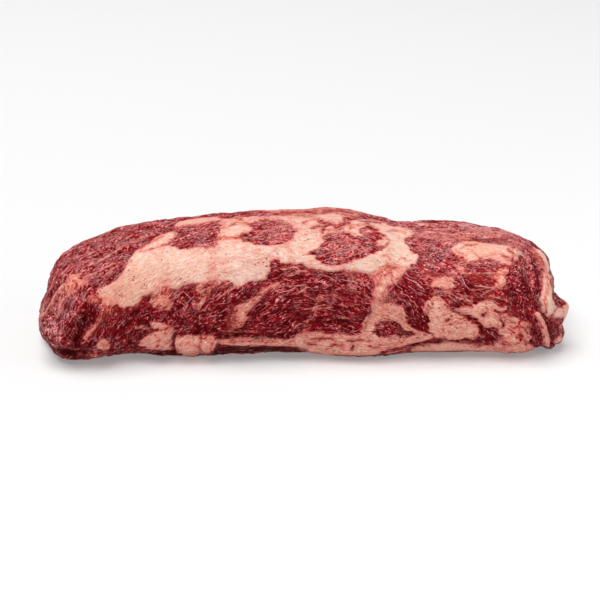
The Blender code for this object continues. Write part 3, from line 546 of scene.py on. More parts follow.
# Grooves of the shown side: width and depth in millimetres, how dark its painted shade is, points. Negative
# is a ridge.
SHOWN_GROOVES = (
    (1.2, 1.2, 0.7, ((130, 46), (140, 45), (148, 44.4), (157, 44.8))),
    (1.4, 0.7, 0.2, ((104, 56), (122, 56.4), (140, 54.6))),
    (1.7, 1.8, 1.0, ((178, 30), (180.5, 22), (181.6, 12), (181, 2), (182, -7), (187, -16), (190, -28))),
    (3.0, -1.0, 0.0, ((184, 30), (187.5, 20), (188, 8), (189, -3))),
    (1.6, -1.5, 0.0, ((180, -11), (184, -17), (187, -23.5), (188.6, -30), (188.4, -36))),
    (1.6, 1.4, 0.9, ((191, -16), (191.5, -22), (192, -28), (191, -34))),
    (1.3, 1.2, 0.5, ((176, -22), (182, -28), (183, -36))),
    (1.0, 0.8, 0.4, ((-76, -27), (-75.5, -33), (-76, -42))),
    (1.2, 1.2, 0.7, ((-96, -24), (-96.5, -32), (-95.5, -41))),
    (1.3, 1.1, 0.6, ((-62, -27), (-61, -33), (-64, -40))),
    (1.1, 0.7, 0.5, ((-95, -25.5), (-84, -25.5), (-70, -25.8), (-62, -27), (-40, -28), (-12, -28.6))),
    # painted shadow along the bottom edge, where the roast meets the table
    (2.6, 1.2, 1.0, ((-62, -37.8), (-40, -38.4), (-12, -37.8), (4, -38.6))),
    (1.5, 0.2, 1.0, ((-66, -41.8), (-45, -41.4), (-28, -40.8), (-10, -39.8), (4, -40.2))),
    (0.9, 0.2, 1.0, ((4, -40), (20, -41.4), (45, -42.6), (64, -41.2))),
    (1.8, 0.3, 1.0, ((-142, -42), (-120, -41.6), (-104, -41.8), (-94, -42.6))),
    (1.0, 0.3, 1.0, ((86, -39.2), (110, -38.8), (138, -38.9), (152, -39.9))),
    (1.0, 0.9, 0.9, (
        (84, -35.4), (92, -33.4), (101, -31.6), (112, -30.8), (124, -31.6), (134, -32.8), (146, -33.2),
    )),
    (1.4, 0.7, 0.5, ((-154, -40), (-142, -38), (-140, -32), (-145, -28))),
    (2.4, 2.4, 0.5, ((-164, -16), (-166.5, -23), (-169, -31))),
    (1.8, -1.2, 0.0, ((-150, -8), (-151.5, -13), (-156, -20), (-160, -25), (-163.5, -29))),
    (1.4, 1.4, 0.9, ((-183, 12), (-187.6, 5), (-191.4, -2.6), (-195.8, -9.2))),
    (1.4, -0.8, 0.0, ((-179, 11), (-184, 5), (-188, -1), (-192, -7))),
    (1.5, 1.3, 0.7, ((-178, -3.5), (-181, -9), (-184, -16))),
    (3.4, 2.4, 1.0, ((-198, -36), (-187, -39.8), (-174, -41.2), (-162, -42))),
    (3.4, -1.6, 0.0, ((-194, -14), (-193, -22), (-188, -30))),
    (1.3, 1.0, 0.4, ((-186, -16), (-180, -26), (-174, -34))),
    (1.2, 0.9, 0.5, ((118, -4.5), (123, -9.2), (131, -14), (138, -20.5), (139, -27))),
    (1.2, 0.9, 0.4, ((-52, -23), (-49.5, -12), (-47.5, -6))),
    (1.0, 0.5, 0.3, ((-41, -20), (-38.5, -12), (-35, -6), (-30, -1))),
    (1.2, 0.8, 0.5, ((49, -24), (52, -14), (55, -6))), (1.0, 0.7, 0.4, ((80, -2), (84, -10), (86, -18))),
    (1.1, 0.7, 0.5, ((-113, 2), (-106, 5.5), (-99, 6.5))), (1.0, 0.6, 0.3, ((93, 25), (91, 35), (88, 43))),
    (1.2, 0.7, 0.4, ((160, 24), (168, 12), (170, 0), (168, -12))),
    (1.2, 0.8, 0.4, ((138, 27), (150, 26), (158, 24))), (1.0, 0.8, 0.5, ((124, 14), (130, 6), (136, 0))),
    (1.0, 0.5, 0.3, ((-126, 30), (-136, 26), (-150, 20), (-165, 12))),
    (1.0, 0.6, 0.3, ((-112, 50), (-130, 44), (-152, 34), (-170, 22))),
    # cracks between the bundles of the upper lean
    (0.8, 0.5, 0.6, ((-151, 17.2), (-146, 18.4), (-138, 21))),
    (0.8, 0.5, 0.5, ((-145, 32.4), (-137, 36), (-128, 39.4))),
    (0.7, 0.4, 0.5, ((-158, 45), (-149, 47.6), (-138, 49.4))),
    (0.7, 0.4, 0.5, ((-152, 41), (-140, 43.6), (-126, 48))),
    (0.7, 0.4, 0.5, ((-186, 14), (-182, 22), (-176, 29))),
    (0.7, 0.4, 0.5, ((-172, 28), (-160, 32), (-150, 36))),
    (0.7, 0.4, 0.6, ((-95, 44), (-84, 47.6), (-70, 50))),
    (0.7, 0.4, 0.5, ((-82, 44), (-72, 47), (-64, 48))),
    (0.7, 0.4, 0.5, ((-24, 54.6), (-16, 53.6), (-10, 52.6))),
    (0.7, 0.4, 0.5, ((20, 50), (28, 51), (37, 49.6))), (0.7, 0.4, 0.5, ((14, 37), (24, 33.6), (34, 35))),
    (0.7, 0.4, 0.5, ((94, 41), (104, 38.4), (112, 35))),
)

# Direction of the grain on the shown side: place in the view, degrees rising to the right, and its reach
SHOWN_GRAIN = (
    ((-150, 30), 32, 26), ((-118, 50), 26, 22), ((-178, 0), 62, 16), ((-168, -25), 58, 16),
    ((-135, -18), 52, 18), ((-112, 12), 30, 22), ((-88, -2), 52, 14), ((-70, -16), 36, 16),
    ((-80, 48), 20, 20), ((-70, 26), 15, 24), ((-30, 35), 8, 26), ((-45, 0), 36, 18), ((-15, -5), 33, 18),
    ((-20, 52), 17, 18), ((18, 4), -14, 18), ((30, -14), -18, 18), ((34, 40), 15, 20), ((40, 12), -20, 16),
    ((5, 20), 12, 14), ((66, 14), -55, 12), ((84, 12), -32, 14), ((90, -10), -58, 12), ((70, -22), 8, 12),
    ((110, 40), -8, 22), ((100, 24), -12, 16), ((135, 50), -6, 24), ((138, 22), -14, 18),
    ((122, 4), -38, 14), ((144, 2), -25, 14), ((165, 8), 68, 14), ((180, 12), -74, 12),
    ((186, -24), -78, 12), ((115, -18), 10, 20), ((160, -25), -30, 16), ((30, -33), 3, 24),
    ((-50, -32), 0, 26), ((-110, -32), 24, 16), ((60, 58), -2, 24), ((0, 62), 2, 30),
)
GRAIN_ANGLES = (-60, -30, 0, 30, 60, 90)  # the directions that the grain is blended from

# Where the shown lean is mottled more than it is grained: place, reach, amount
SHOWN_MOTTLED = (
    ((-189, -20), 13, 0.85), ((-178, -32), 9, 0.85), ((168, 8), 10, 0.85), ((166, 24), 8, 0.85),
    ((-165, -18), 9, 0.85), ((104, 34), 9, 0.85), ((-150, 38), 24, 0.5), ((-112, 50), 20, 0.4),
    ((138, 52), 24, 0.3), ((-20, 50), 16, 0.4), ((34, 40), 18, 0.4), ((-80, 48), 16, 0.4),
)

# How light the lean is on the shown side, its own tone with painted sheen along the top and painted shade
# low on the front and at the feet: place, reach, amount from dark to light
SHOWN_TONES_AND_SHADING = (
    ((-181, -33), 8, 0.75), ((-168, -14), 12, -0.35), ((-155, -11), 8, -0.35), ((168, 8), 12, -0.45),
    ((196, -26), 7, -0.1), ((-182, 2), 14, 0.42), ((145, -8), 16, -0.30), ((180, -30), 10, -0.3),
    ((-60, -38), 30, -0.4), ((-108, -8), 14, -0.25), ((-140, 32), 30, 0.32), ((-80, 48), 18, 0.36),
    ((-20, 50), 18, 0.48), ((34, 40), 24, 0.50), ((105, 38), 24, 0.3), ((140, 50), 28, 0.58),
    ((138, 24), 13, -0.55), ((124, 6), 14, -0.25), ((92, 58), 14, 0.6), ((10, 12), 26, -0.02),
    ((-60, -8), 26, -0.27), ((30, -15), 24, -0.33), ((90, -16), 12, -0.62), ((72, -22), 10, -0.10),
    ((80, 6), 14, -0.35), ((-175, -42), 12, -0.80), ((-158, -20), 12, -0.30), ((-125, -22), 20, -0.45),
    ((-40, -38), 30, -0.45), ((165, -2), 14, -0.20), ((-190, -20), 9, 0.80), ((-176, 0), 14, 0.30),
    ((105, 12), 12, 0), ((120, -36), 24, -0.75), ((70, 64), 30, 0.35), ((-5, 68), 34, 0.30),
    ((150, 56), 34, 0.75), ((-90, 64), 30, 0.30), ((-170, 30), 24, 0.15), ((-5, -16), 26, -0.3),
    ((184, 4), 10, 0.30), ((104, 38), 10, 0.30), ((136, 24), 9, -0.25), ((20, 14), 10, -0.35),
    ((35, -12), 11, -0.3), ((88, -10), 9, -0.2), ((-150, 38), 14, 0.12), ((30, 42), 12, 0.15),
)

# How much pinker and how much yellower the fat is on the shown side: place, reach, pinker, yellower
SHOWN_TINTS = (
    ((-152, -3), 9, 0.34, 0.4), ((-143, -7), 7, 0.30, 0.7), ((-138, 0), 13, 0.16, 0.8),
    ((-128, 14), 16, 0.06, 0.9), ((-106, 12), 12, 0.20, 0.6), ((-95, 26), 18, 0.02, 0.4),
    ((-65, 18), 16, 0.12, 0.3), ((-30, 20), 12, 0.06, 0.1), ((-110, 44), 10, 0.12, 0.0),
    ((25, 23), 14, 0.10, 0.2), ((140, 36), 24, 0.06, 0.8), ((20, -36), 30, 0.05, 0.4),
    ((115, -18), 18, 0.04, 0.5), ((155, -25), 20, 0.04, 0.4), ((-80, -34), 20, 0.04, 0.3),
    ((-60, 62), 30, 0.20, 0.0), ((0, 62), 24, 0.15, 0.0), ((62, -9), 9, 0.22, 0.7),
    ((140, 37), 16, 0.10, 0.3), ((160, -27), 14, 0.10, 0.3), ((-140, 4), 14, 0.08, 0.5),
)


def bell(points, centre, reach):
    """1 at the centre, falling off as exp(-distance^2) with the distance counted in reaches."""
    return np.exp(-(((points - np.array(centre)) / np.array(reach)) ** 2).sum(-1))


def signed_power(values, power):
    """|values| to the power, with the sign kept."""
    return np.sign(values) * np.abs(values) ** power


def smooth_step(low, high, values):
    """0 below low, 1 above high, and 3t^2 - 2t^3 between."""
    t = np.clip((values - low) / (high - low), 0, 1)
    return t * t * (3 - 2 * t)


def smooth_table(table, x):
    """A cubic through the rows of the table, whose first column is x: Hermite pieces, averaged slopes."""
    knots = np.array(table)
    at, values = knots[:, 0], knots[:, 1:]
    slopes = np.gradient(values, at, axis=0)
    x = np.clip(x, at[0], at[-1])
    left = np.clip(np.searchsorted(at, x, side="right") - 1, 0, len(at) - 2)
    span = at[left + 1] - at[left]
    t = ((x - at[left]) / span)[..., None]
    span = span[..., None]
    return (
        values[left] * (1 + 2 * t) * (1 - t) ** 2
        + values[left + 1] * t**2 * (3 - 2 * t)
        + slopes[left] * span * t * (1 - t) ** 2
        - slopes[left + 1] * span * t**2 * (1 - t)
    )


def even_steps(columns, x, y, count, closed, closeness=1.0):
    """The columns' values where the line x, y is cut into pieces of equal length times closeness."""
    piece = np.hypot(np.diff(x), np.diff(y)) * closeness
    length = np.concatenate([[0.0], np.cumsum(piece)])
    wanted = np.linspace(0.0, length[-1], count + 1 if closed else count)
    if closed:
        wanted = wanted[:-1]
    return np.stack([np.interp(wanted, length, column) for column in columns])


def ring_shape(turn):
    """One ring of unit reach: across from -1, the front, to 1, up from -1 to 1. Turn 0 is underneath."""
    angle = 2 * np.pi * turn
    power = np.where(np.cos(angle) > 0, LOWER_POWER, UPPER_POWER)
    across = -signed_power(np.sin(angle), 2 / power)
    up = -signed_power(np.cos(angle), 2 / power)
    return across, up


def lengthwise_shape(share):
    """Place along X from -1 to 1 and the ring's scale: a superellipse with a power for each end."""
    angle = np.pi * share
    power = np.where(np.cos(angle) > 0, LEFT_END_POWER, RIGHT_END_POWER)
    return -signed_power(np.cos(angle), 2 / power), signed_power(np.sin(angle), 2 / power)


def trunk(ring_count, points_per_ring, reach_share, closeness=1.0):
    """Grid of points, rings by points, of the roast before its relief."""
    fine = np.linspace(0.0, 1.0, TRIAL_STEPS)
    crowded = fine**CROWDING / (fine**CROWDING + (1 - fine) ** CROWDING)
    along, scale = lengthwise_shape(crowded)
    reach = scale**FOOT_POWER * reach_share
    along, scale = even_steps((along, scale), along, reach, ring_count + 2, closed=False)[:, 1:-1]
    across, up = ring_shape(fine)
    across, up = even_steps((across, up), across * WIDTH_TO_HEIGHT, up, points_per_ring, True, closeness)
    x = along * LENGTH / 2
    front, back, height = (column[:, None] for column in smooth_table(TRUNK, x).T)
    belly = height * BELLY_SHARE
    scale = scale[:, None] ** (1 - (1 - FOOT_POWER) * (1 - up) / 2)
    y = scale * across * np.where(across < 0, front, back)
    z = belly + up * np.where(up < 0, belly + SUNK, height - belly) * scale
    end = np.clip((np.abs(x) - LEAN_START) / (LENGTH / 2 - LEAN_START), 0, 1)
    lean = np.where(x < 0, LEFT_LEAN, -RIGHT_LEAN) * end**2
    skew = np.where(x < 0, -LEFT_SKEW, RIGHT_SKEW) * end**2
    x = x[:, None] + lean[:, None] * (z - belly) + skew[:, None] * y
    return np.stack([x, y, z], axis=-1)


def normals_of(grid):
    """Outward unit normals of the grid: along cross around, from central differences."""
    along = np.gradient(grid, axis=0)
    around = np.roll(grid, -1, axis=1) - np.roll(grid, 1, axis=1)
    normal = np.cross(along, around)
    return normal / np.linalg.norm(normal, axis=-1, keepdims=True)


def distance_to_route(points, route):
    """Shortest distance from each point to the broken line through the route's points."""
    route = np.array(route, float)
    nearest = np.full(points.shape[:-1], np.inf)
    for start, end in zip(route[:-1], route[1:]):
        step = end - start
        t = np.clip(((points - start) @ step) / (step @ step), 0, 1)
        nearest = np.minimum(nearest, np.linalg.norm(points - start - t[..., None] * step, axis=-1))
    return nearest


def lattice(corner, seed):
    """A repeatable number from -1 to 1 for each whole-numbered corner."""
    mixed = corner[..., 0] * 73856093 ^ corner[..., 1] * 19349663 ^ corner[..., 2] * 83492791
    mixed = mixed ^ seed * 2654435761
    mixed = (mixed ^ (mixed >> 15)) * 2246822519 & 0xFFFFFFFF
    mixed = (mixed ^ (mixed >> 13)) * 3266489917 & 0xFFFFFFFF
    return (mixed ^ (mixed >> 16)) / 0x7FFFFFFF - 1.0


def noise(points, grain, seed):
    """Smooth noise from -1 to 1: lattice numbers a grain apart, blended by a smooth step on each axis."""
    scaled = points / np.array(grain)
    corner = np.floor(scaled).astype(np.int64)
    t = scaled - corner
    t = t * t * (3 - 2 * t)
    total = np.zeros(points.shape[:-1])
    for dx in (0, 1):
        for dy in (0, 1):
            for dz in (0, 1):
                step = np.array([dx, dy, dz])
                total += np.abs(1 - step - t).prod(axis=-1) * lattice(corner + step, seed)
    return total


def relief(points):
    """How far the skin stands out at each point: lumps less seams, plus the crags."""
    out = np.zeros(points.shape[:-1])
    for centre, radii, height in LUMPS:
        out += height * bell(points, centre, radii)
    for width, depth, route in SEAMS:
        out -= depth * np.exp(-((distance_to_route(points, route) / max(width, NARROWEST)) ** 2))
    for grain, height, seed in CRAGS:
        out += height * noise(points, grain, seed)
    return out


def with_poles(grid):
    """The grid's points or numbers as one row, then the means of its first ring and of its last."""
    ends = np.stack([grid[0].mean(axis=0), grid[-1].mean(axis=0)])
    return np.concatenate([grid.reshape(-1, *grid.shape[2:]), ends])


def cad_placing():
    """The shift and stretch that centre the CAD solid's box and bring it to its length."""
    grid = trunk(CAD_RING_COUNT, CAD_POINTS_PER_RING, CAD_REACH_SHARE)
    everything = with_poles(grid + normals_of(grid) * relief(grid)[..., None])
    low, high = everything.min(axis=0), everything.max(axis=0)
    shift = np.array([(low[0] + high[0]) / 2, (low[1] + high[1]) / 2, 0.0])
    return shift, np.array([LENGTH / (high[0] - low[0]), 1.0, 1.0])


def in_view(points):
    """Millimetres right and up in the view, on the plane through the camera's target."""
    offset = points - TARGET - TO_EYE * CAMERA_DISTANCE
    scale = CAMERA_DISTANCE * MM / -(offset @ TO_EYE)
    return np.stack([offset @ TO_RIGHT, offset @ TO_TOP], axis=-1) * scale[..., None]


def inside_outline(points, outline):
    """Signed distance to a closed outline, positive inside: signed by the crossings to the right."""
    corners = np.array(outline, float)
    inside = np.zeros(points.shape[:-1], bool)
    for (ax, ay), (bx, by) in zip(corners, np.roll(corners, -1, axis=0)):
        between = (ay > points[..., 1]) != (by > points[..., 1])
        crossing = ax + (points[..., 1] - ay) * (bx - ax) / (by - ay if by != ay else 1.0)
        inside ^= between & (points[..., 0] < crossing)
    distance = distance_to_route(points, np.concatenate([corners, corners[:1]]))
    return np.where(inside, distance, -distance)


FAR_FROM_FAT = 4.0  # millimetres past which the distance to an edge no longer matters
STROKE_FRAY = 0.25  # share of the fray that strokes take
REDDENING = (-1.2, 0.8)  # millimetres inside a mark, from where its redness starts to where it is full


def paint(points, fray, marks, blush):
    """Signed distance to fat, and how red it is: each mark is laid over the earlier ones, in order.

    The fray shifts the points of filled outlines in full, and those of strokes in part.
    """
    filled = (points + fray).reshape(-1, 2)
    stroked = (points + fray * STROKE_FRAY).reshape(-1, 2)
    field = np.full(len(filled), -FAR_FROM_FAT)
    red = np.full(len(filled), blush)
    for kind, redness, width, route in marks:
        corners = np.array(route, float)
        flat = stroked if width else filled
        reach = FAR_FROM_FAT + width
        near = ((flat > corners.min(axis=0) - reach) & (flat < corners.max(axis=0) + reach)).all(axis=-1)
        if width:
            inside = width / 2 - distance_to_route(flat[near], route)
        else:
            inside = inside_outline(flat[near], route)
        if kind == "fat":
            field[near] = np.maximum(field[near], inside)
        elif kind == "lean":
            field[near] = np.minimum(field[near], -inside)
        red[near] += (redness - red[near]) * smooth_step(*REDDENING, inside)
    field = np.clip(field, -FAR_FROM_FAT, FAR_FROM_FAT)
    return field.reshape(points.shape[:-1]), red.reshape(points.shape[:-1])


def along_grain(skin, degrees, long, short, seed):
    """Noise stretched along one direction of the skin's chart: its grain is long by short millimetres."""
    cos, sin = np.cos(np.radians(degrees)), np.sin(np.radians(degrees))
    along, across = skin[..., 0], skin[..., 1]
    level = np.full(along.shape, 0.5)
    rotated = np.stack([along * cos + across * sin, -along * sin + across * cos, level], axis=-1)
    return noise(rotated, (long, short, 1.0), seed)


# Which chart a point belongs to, by how far the plain form faces its way: none to all
FACING_EYE = (0.0, 0.16)
MOSTLY_SHOWN = 0.5
FACING_TABLE = (0.55, 0.85)
FACING_END = (0.50, 0.80)
CUT_ACROSS = (0.70, 0.92)  # where the grain is seen end on
CUT_HIDES = 0.6  # share of that which the shown side takes away

# Fat: how ragged its edges are in millimetres, and its yellowness before any tint
COARSE_FRAY, FINE_FRAY = 3.0, 1.4  # grain of the noise
FINE_FRAY_SHARE = 0.6
FRAY_ALONG_GRAIN = 5.0
SHOWN_RAGGED, HIDDEN_RAGGED = 0.6, 1.3
PLAIN_IVORY = 0.3

# Grain where the shown side doesn't set it, and how sharply it keeps to one direction
HIDDEN_ANGLE, HIDDEN_SWING, SWING_GRAIN = 0.15, 0.35, 0.030
GRAIN_FALL, NEVER_ZERO = 1.5, 1e-9
GRAIN_SHARPNESS = 9
ROUND_GRAIN = 1.4  # size of the noise where the lean is cut across, over its width along the grain

# Relief in millimetres: bundles of fibres, ridges, knobs, soft waves and creases
CREASE_NARROWS, CREASE_POWER = 3.0, 1.6
FAT_RISES = (-0.8, 0.9)  # across this stretch of the distance to fat
PROUD_FAT = 0.75
LEAN_BUNDLES, LEAN_RIDGES, LEAN_KNOBS, LEAN_CREASES = 0.60, 0.50, 0.30, 1.05
FAT_RIDGES, FAT_WAVES, FAT_KNOBS, FAT_CREASES = 0.16, 0.35, 0.08, 0.16
DARK_IN_LEAN, DARK_IN_FAT = 0.70, 0.10  # how much painted shade darkens a crease

# Tone of the lean, from dark to light
PLAIN_TONE = 0.325
BELOW_NOTHING = 0.45  # share that is kept of a tone below 0
# painted light and shade: raised bundles and ridges lighter, the hollows between them darker
BUNDLE_PAINTED_SHADE, RIDGE_PAINTED_SHADE = 0.30, 0.20


class Skin:
    """The finished grid with everything that the materials and the sinews need to know about each point."""

    def __init__(self):
        turn = np.linspace(0.0, 1.0, TRIAL_STEPS)
        turn = (turn[:-1] + turn[1:]) / 2
        first, last = SHOWN_TURNS
        shown = smooth_step(first - BEFORE_SHOWN, first, turn)
        shown *= 1 - smooth_step(last, last + AFTER_SHOWN, turn)
        closeness = FAR_SHARE + (1 - FAR_SHARE) * shown
        base = trunk(RING_COUNT, POINTS_PER_RING, REACH_SHARE, closeness)
        plain = normals_of(base)
        grid = base + plain * relief(base)[..., None]
        shift, stretch = cad_placing()
        self.base = (grid - shift) * stretch
        self.measure_chart()
        self.measure_facing(plain)
        self.set_grain()
        self.mark_fat()
        self.raise_relief()

    def measure_chart(self):
        """Millimetres along the skin, and round it from the top's middle line, negative at the front."""
        grid = self.base * MM
        lengthwise = np.linalg.norm(np.diff(grid, axis=0), axis=-1).mean(axis=1)
        along = np.concatenate([[0.0], np.cumsum(lengthwise)])
        around = np.linalg.norm(np.diff(np.concatenate([grid, grid[:, :1]], axis=1), axis=1), axis=-1)
        around = np.concatenate([np.zeros((len(grid), 1)), np.cumsum(around, axis=1)], axis=1)
        quarter = grid.shape[1] // 4
        behind = quarter + (grid[:, quarter:3 * quarter, 1] < 0).sum(axis=1)
        pair = np.stack([behind - 1, behind], axis=1)
        across, round_it = (np.take_along_axis(values, pair, axis=1) for values in (grid[..., 1], around))
        share = across[:, :1] / (across[:, :1] - across[:, 1:])
        around -= round_it[:, :1] + share * (round_it[:, 1:] - round_it[:, :1])
        along -= along[len(along) // 2]
        self.chart = np.stack([np.repeat(along[:, None], around.shape[1], axis=1), around], axis=-1)
        self.skin = self.chart[:, :-1]

    def measure_facing(self, plain):
        """Shares of the five charts at each point, from which way the plain form faces there."""
        to_eye = TARGET + TO_EYE * CAMERA_DISTANCE - self.base
        to_eye /= np.linalg.norm(to_eye, axis=-1, keepdims=True)
        shown = smooth_step(*FACING_EYE, (plain * to_eye).sum(-1))
        under = smooth_step(*FACING_TABLE, -plain[..., 2]) * (1 - shown)
        right, left = (
            smooth_step(*FACING_END, side * plain[..., 0]) * (1 - shown) * (1 - under) for side in (1, -1)
        )
        self.shares = {"shown": shown, "under": under, "right": right, "left": left,
                       "far": 1 - shown - under - right - left}
        self.cut = smooth_step(*CUT_ACROSS, np.abs(plain[..., 0])) * (1 - shown * CUT_HIDES)

    def mark_fat(self):
        """Distance to fat and redness on each chart, added up by the charts' shares.

        Noise frays the edges, mostly along the grain.
        """
        grid = self.base * MM
        fray = np.stack([
            noise(grid, COARSE_FRAY, seed) + FINE_FRAY_SHARE * noise(grid, FINE_FRAY, seed + 1)
            for seed in (51, 53)
        ], axis=-1)
        heading = np.stack([np.cos(self.angle), np.sin(self.angle)], axis=-1)
        fray += heading * self.grained(7.0, 2.0, 55)[..., None] * FRAY_ALONG_GRAIN
        charts = {  # points, marks, the redness before any mark
            "shown": (self.view, SHOWN, 0.38),
            "far": (np.stack([grid[..., 0], self.skin[..., 1]], axis=-1), FAR, 0.4),
            "under": (grid[..., :2], UNDER, 0.5),
            "right": (grid[..., 1:], RIGHT_END, 0.4),
            "left": (grid[..., 1:], LEFT_END, 0.5),
        }
        self.fat = np.zeros(grid.shape[:-1])
        self.blush = np.zeros(grid.shape[:-1])
        self.ivory = np.full(grid.shape[:-1], PLAIN_IVORY)
        for name, (points, marks, blush) in charts.items():
            ragged = SHOWN_RAGGED if name == "shown" else HIDDEN_RAGGED
            field, red = paint(points, fray * ragged, marks, blush)
            self.fat += field * self.shares[name]
            self.blush += red * self.shares[name]
        for place, reach, pinker, yellower in SHOWN_TINTS:
            near = bell(self.view, place, reach) * self.shares["shown"]
            self.blush += pinker * near
            self.ivory += (yellower - PLAIN_IVORY) * near

    def set_grain(self):
        """Weights of the fixed grain directions: a smooth field of angles, compared with each direction."""
        self.view = in_view(self.base)
        for place, reach, amount in SHOWN_MOTTLED:
            self.cut = np.maximum(self.cut, amount * bell(self.view, place, reach) * self.shares["shown"])
        doubled = np.zeros(self.skin.shape)
        for place, degrees, reach in SHOWN_GRAIN:
            near = bell(self.view, place, reach) ** GRAIN_FALL + NEVER_ZERO
            doubled[..., 0] += near * np.cos(2 * np.radians(degrees))
            doubled[..., 1] += near * np.sin(2 * np.radians(degrees))
        angle = np.arctan2(doubled[..., 1], doubled[..., 0]) / 2
        swing = HIDDEN_SWING * noise(self.base, SWING_GRAIN, 61) * (1 - self.shares["shown"])
        self.angle = np.where(self.shares["shown"] > MOSTLY_SHOWN, angle, HIDDEN_ANGLE) + swing
        away = self.angle[..., None] - np.radians(GRAIN_ANGLES)
        self.weights = (np.cos(away) ** 2) ** GRAIN_SHARPNESS
        self.weights /= self.weights.sum(-1, keepdims=True)

    def grained(self, long, short, seed):
        """Noise that follows the grain: each direction's stretched noise by its weight, even where cut."""
        total = sum(
            along_grain(self.skin, degrees, long, short, seed + k) * self.weights[..., k]
            for k, degrees in enumerate(GRAIN_ANGLES)
        )
        total /= np.sqrt((self.weights**2).sum(-1))
        return total * (1 - self.cut) + noise(self.base * MM, short * ROUND_GRAIN, seed + 9) * self.cut

    def raise_relief(self):
        """Fat stands a little proud, lean is ridged along its grain, and the grooves are cut in."""
        fatness = smooth_step(*FAT_RISES, self.fat)
        lean = 1 - fatness
        bundles = self.grained(16.0, 5.5, 70)
        ridges = self.grained(8.0, 2.2, 80)
        creases = np.clip(1 - np.abs(self.grained(12.0, 3.4, 90)) * CREASE_NARROWS, 0, 1) ** CREASE_POWER
        knobs = noise(self.base * MM, 2.1, 96)
        waves = noise(self.base * MM, 9.0, 97)
        in_lean = LEAN_BUNDLES * bundles + LEAN_RIDGES * ridges + LEAN_KNOBS * knobs
        in_fat = PROUD_FAT + FAT_RIDGES * ridges + FAT_WAVES * waves + FAT_KNOBS * knobs
        out = lean * (in_lean - LEAN_CREASES * creases) + fatness * (in_fat - FAT_CREASES * creases)
        # painted shade: the colour darkens in the creases and along the grooves
        self.dark = creases * (DARK_IN_LEAN * lean + DARK_IN_FAT * fatness)
        for width, depth, dark, route in SHOWN_GROOVES:
            cut = np.exp(-((distance_to_route(self.view, route) / width) ** 2)) * self.shares["shown"]
            out -= depth * cut
            self.dark = np.maximum(self.dark, dark * cut)
        # painted sheen and shade: the tones light the top and darken the front's lower part and the feet
        tone = np.zeros(self.fat.shape)
        for place, reach, amount in SHOWN_TONES_AND_SHADING:
            tone += amount * bell(self.view, place, reach)
        tone = PLAIN_TONE + tone * self.shares["shown"]
        tone = np.where(tone < 0, tone * BELOW_NOTHING, tone)
        # painted light and shade that follow the relief of the bundles and ridges
        self.tone = tone + BUNDLE_PAINTED_SHADE * bundles + RIDGE_PAINTED_SHADE * ridges
        self.grid = self.base + normals_of(self.base) * out[..., None] / MM
        self.grid[..., 2] = np.maximum(self.grid[..., 2], 0.0)


def sample(values, ring, k):
    """Values of a grid at fractional ring and point numbers, blended from the four around them."""
    i, j = np.floor(ring).astype(int), np.floor(k).astype(int)
    s, t = ring - i, k - j
    if values.ndim > 2:
        s, t = s[..., None], t[..., None]
    j, after = j % values.shape[1], (j + 1) % values.shape[1]
    return (
        (1 - s) * ((1 - t) * values[i, j] + t * values[i, after])
        + s * ((1 - t) * values[i + 1, j] + t * values[i + 1, after])
    )


STRAND_SEED = 41
STRAND_TRIES = 700  # about 400 of them start on the lean
STRAND_STARTS = (8, RING_COUNT - 10)  # the rings between which they start
STRAND_KEEPS = (2, RING_COUNT - 3)  # the rings between which they stay, clear of the poles
STRAND_STATIONS, STRAND_SIDES = 9, 5
STRAND_STEP = (0.3, 0.9)  # millimetres between stations
STRAND_TURN, STRAND_BEND, STRAND_WANDER = 0.28, 0.05, 0.13  # spread of the swing off the grain, in radians
STRAND_RADIUS = (0.15, 0.30)  # millimetres
STRAND_TAPER = 0.6
STRAND_LIFT = 0.3  # of its radius, above the skin
STRAND_CLEARANCE = 0.004  # how far above the table a strand starts at least
STRAND_IN_FAT = 0.2  # how many millimetres inside the fat's edge it starts at most
ROUTE_REACH = 0.7  # millimetres within which the skin carries a drawn strand


def scattered_strands(skin, random):
    """Ring and point numbers along strands that start at random on the lean and swing about the grain."""
    ring = random.uniform(*STRAND_STARTS, STRAND_TRIES)
    k = random.uniform(0, POINTS_PER_RING, STRAND_TRIES)
    on_lean = sample(skin.fat, ring, k) < STRAND_IN_FAT
    clear = sample(skin.grid[..., 2], ring, k) > STRAND_CLEARANCE
    ring, k = ring[on_lean & clear], k[on_lean & clear]
    along = np.linalg.norm(np.gradient(skin.base, axis=0), axis=-1)
    around = np.linalg.norm(np.roll(skin.base, -1, axis=1) - np.roll(skin.base, 1, axis=1), axis=-1) / 2
    step = random.uniform(*STRAND_STEP, len(ring)) / MM
    turn = random.normal(0.0, STRAND_TURN, len(ring))
    bend = random.normal(0.0, STRAND_BEND, len(ring))
    heading = skin.angle[ring.astype(int), k.astype(int)] + turn
    rings, ks = [ring], [k]
    for _ in range(STRAND_STATIONS - 1):
        heading = heading + bend + random.normal(0.0, STRAND_WANDER, len(ring))
        ring = np.clip(ring + np.cos(heading) * step / sample(along, ring, k), *STRAND_KEEPS)
        k = k + np.sin(heading) * step / sample(around, ring, k)
        rings.append(ring)
        ks.append(k)
    return np.stack(rings, axis=1), np.stack(ks, axis=1)


def drawn_strands(skin):
    """Points and normals of the skin under smooth routes in the view: means, by closeness."""
    shown = skin.shares["shown"] > MOSTLY_SHOWN
    view, grid, normals = in_view(skin.grid)[shown], skin.grid[shown], normals_of(skin.base)[shown]
    points, directions = [], []
    for _, route in SHOWN_STRANDS:
        knots = np.column_stack([np.arange(len(route)), route])
        path = smooth_table(knots, np.linspace(0, len(route) - 1, STRAND_STATIONS))
        away = np.linalg.norm(view - path[:, None], axis=-1)
        near = np.exp(-((away / ROUTE_REACH) ** 2))
        near /= near.sum(axis=1, keepdims=True)
        points.append(near @ grid)
        directions.append(near @ normals)
    return np.array(points), np.array(directions)


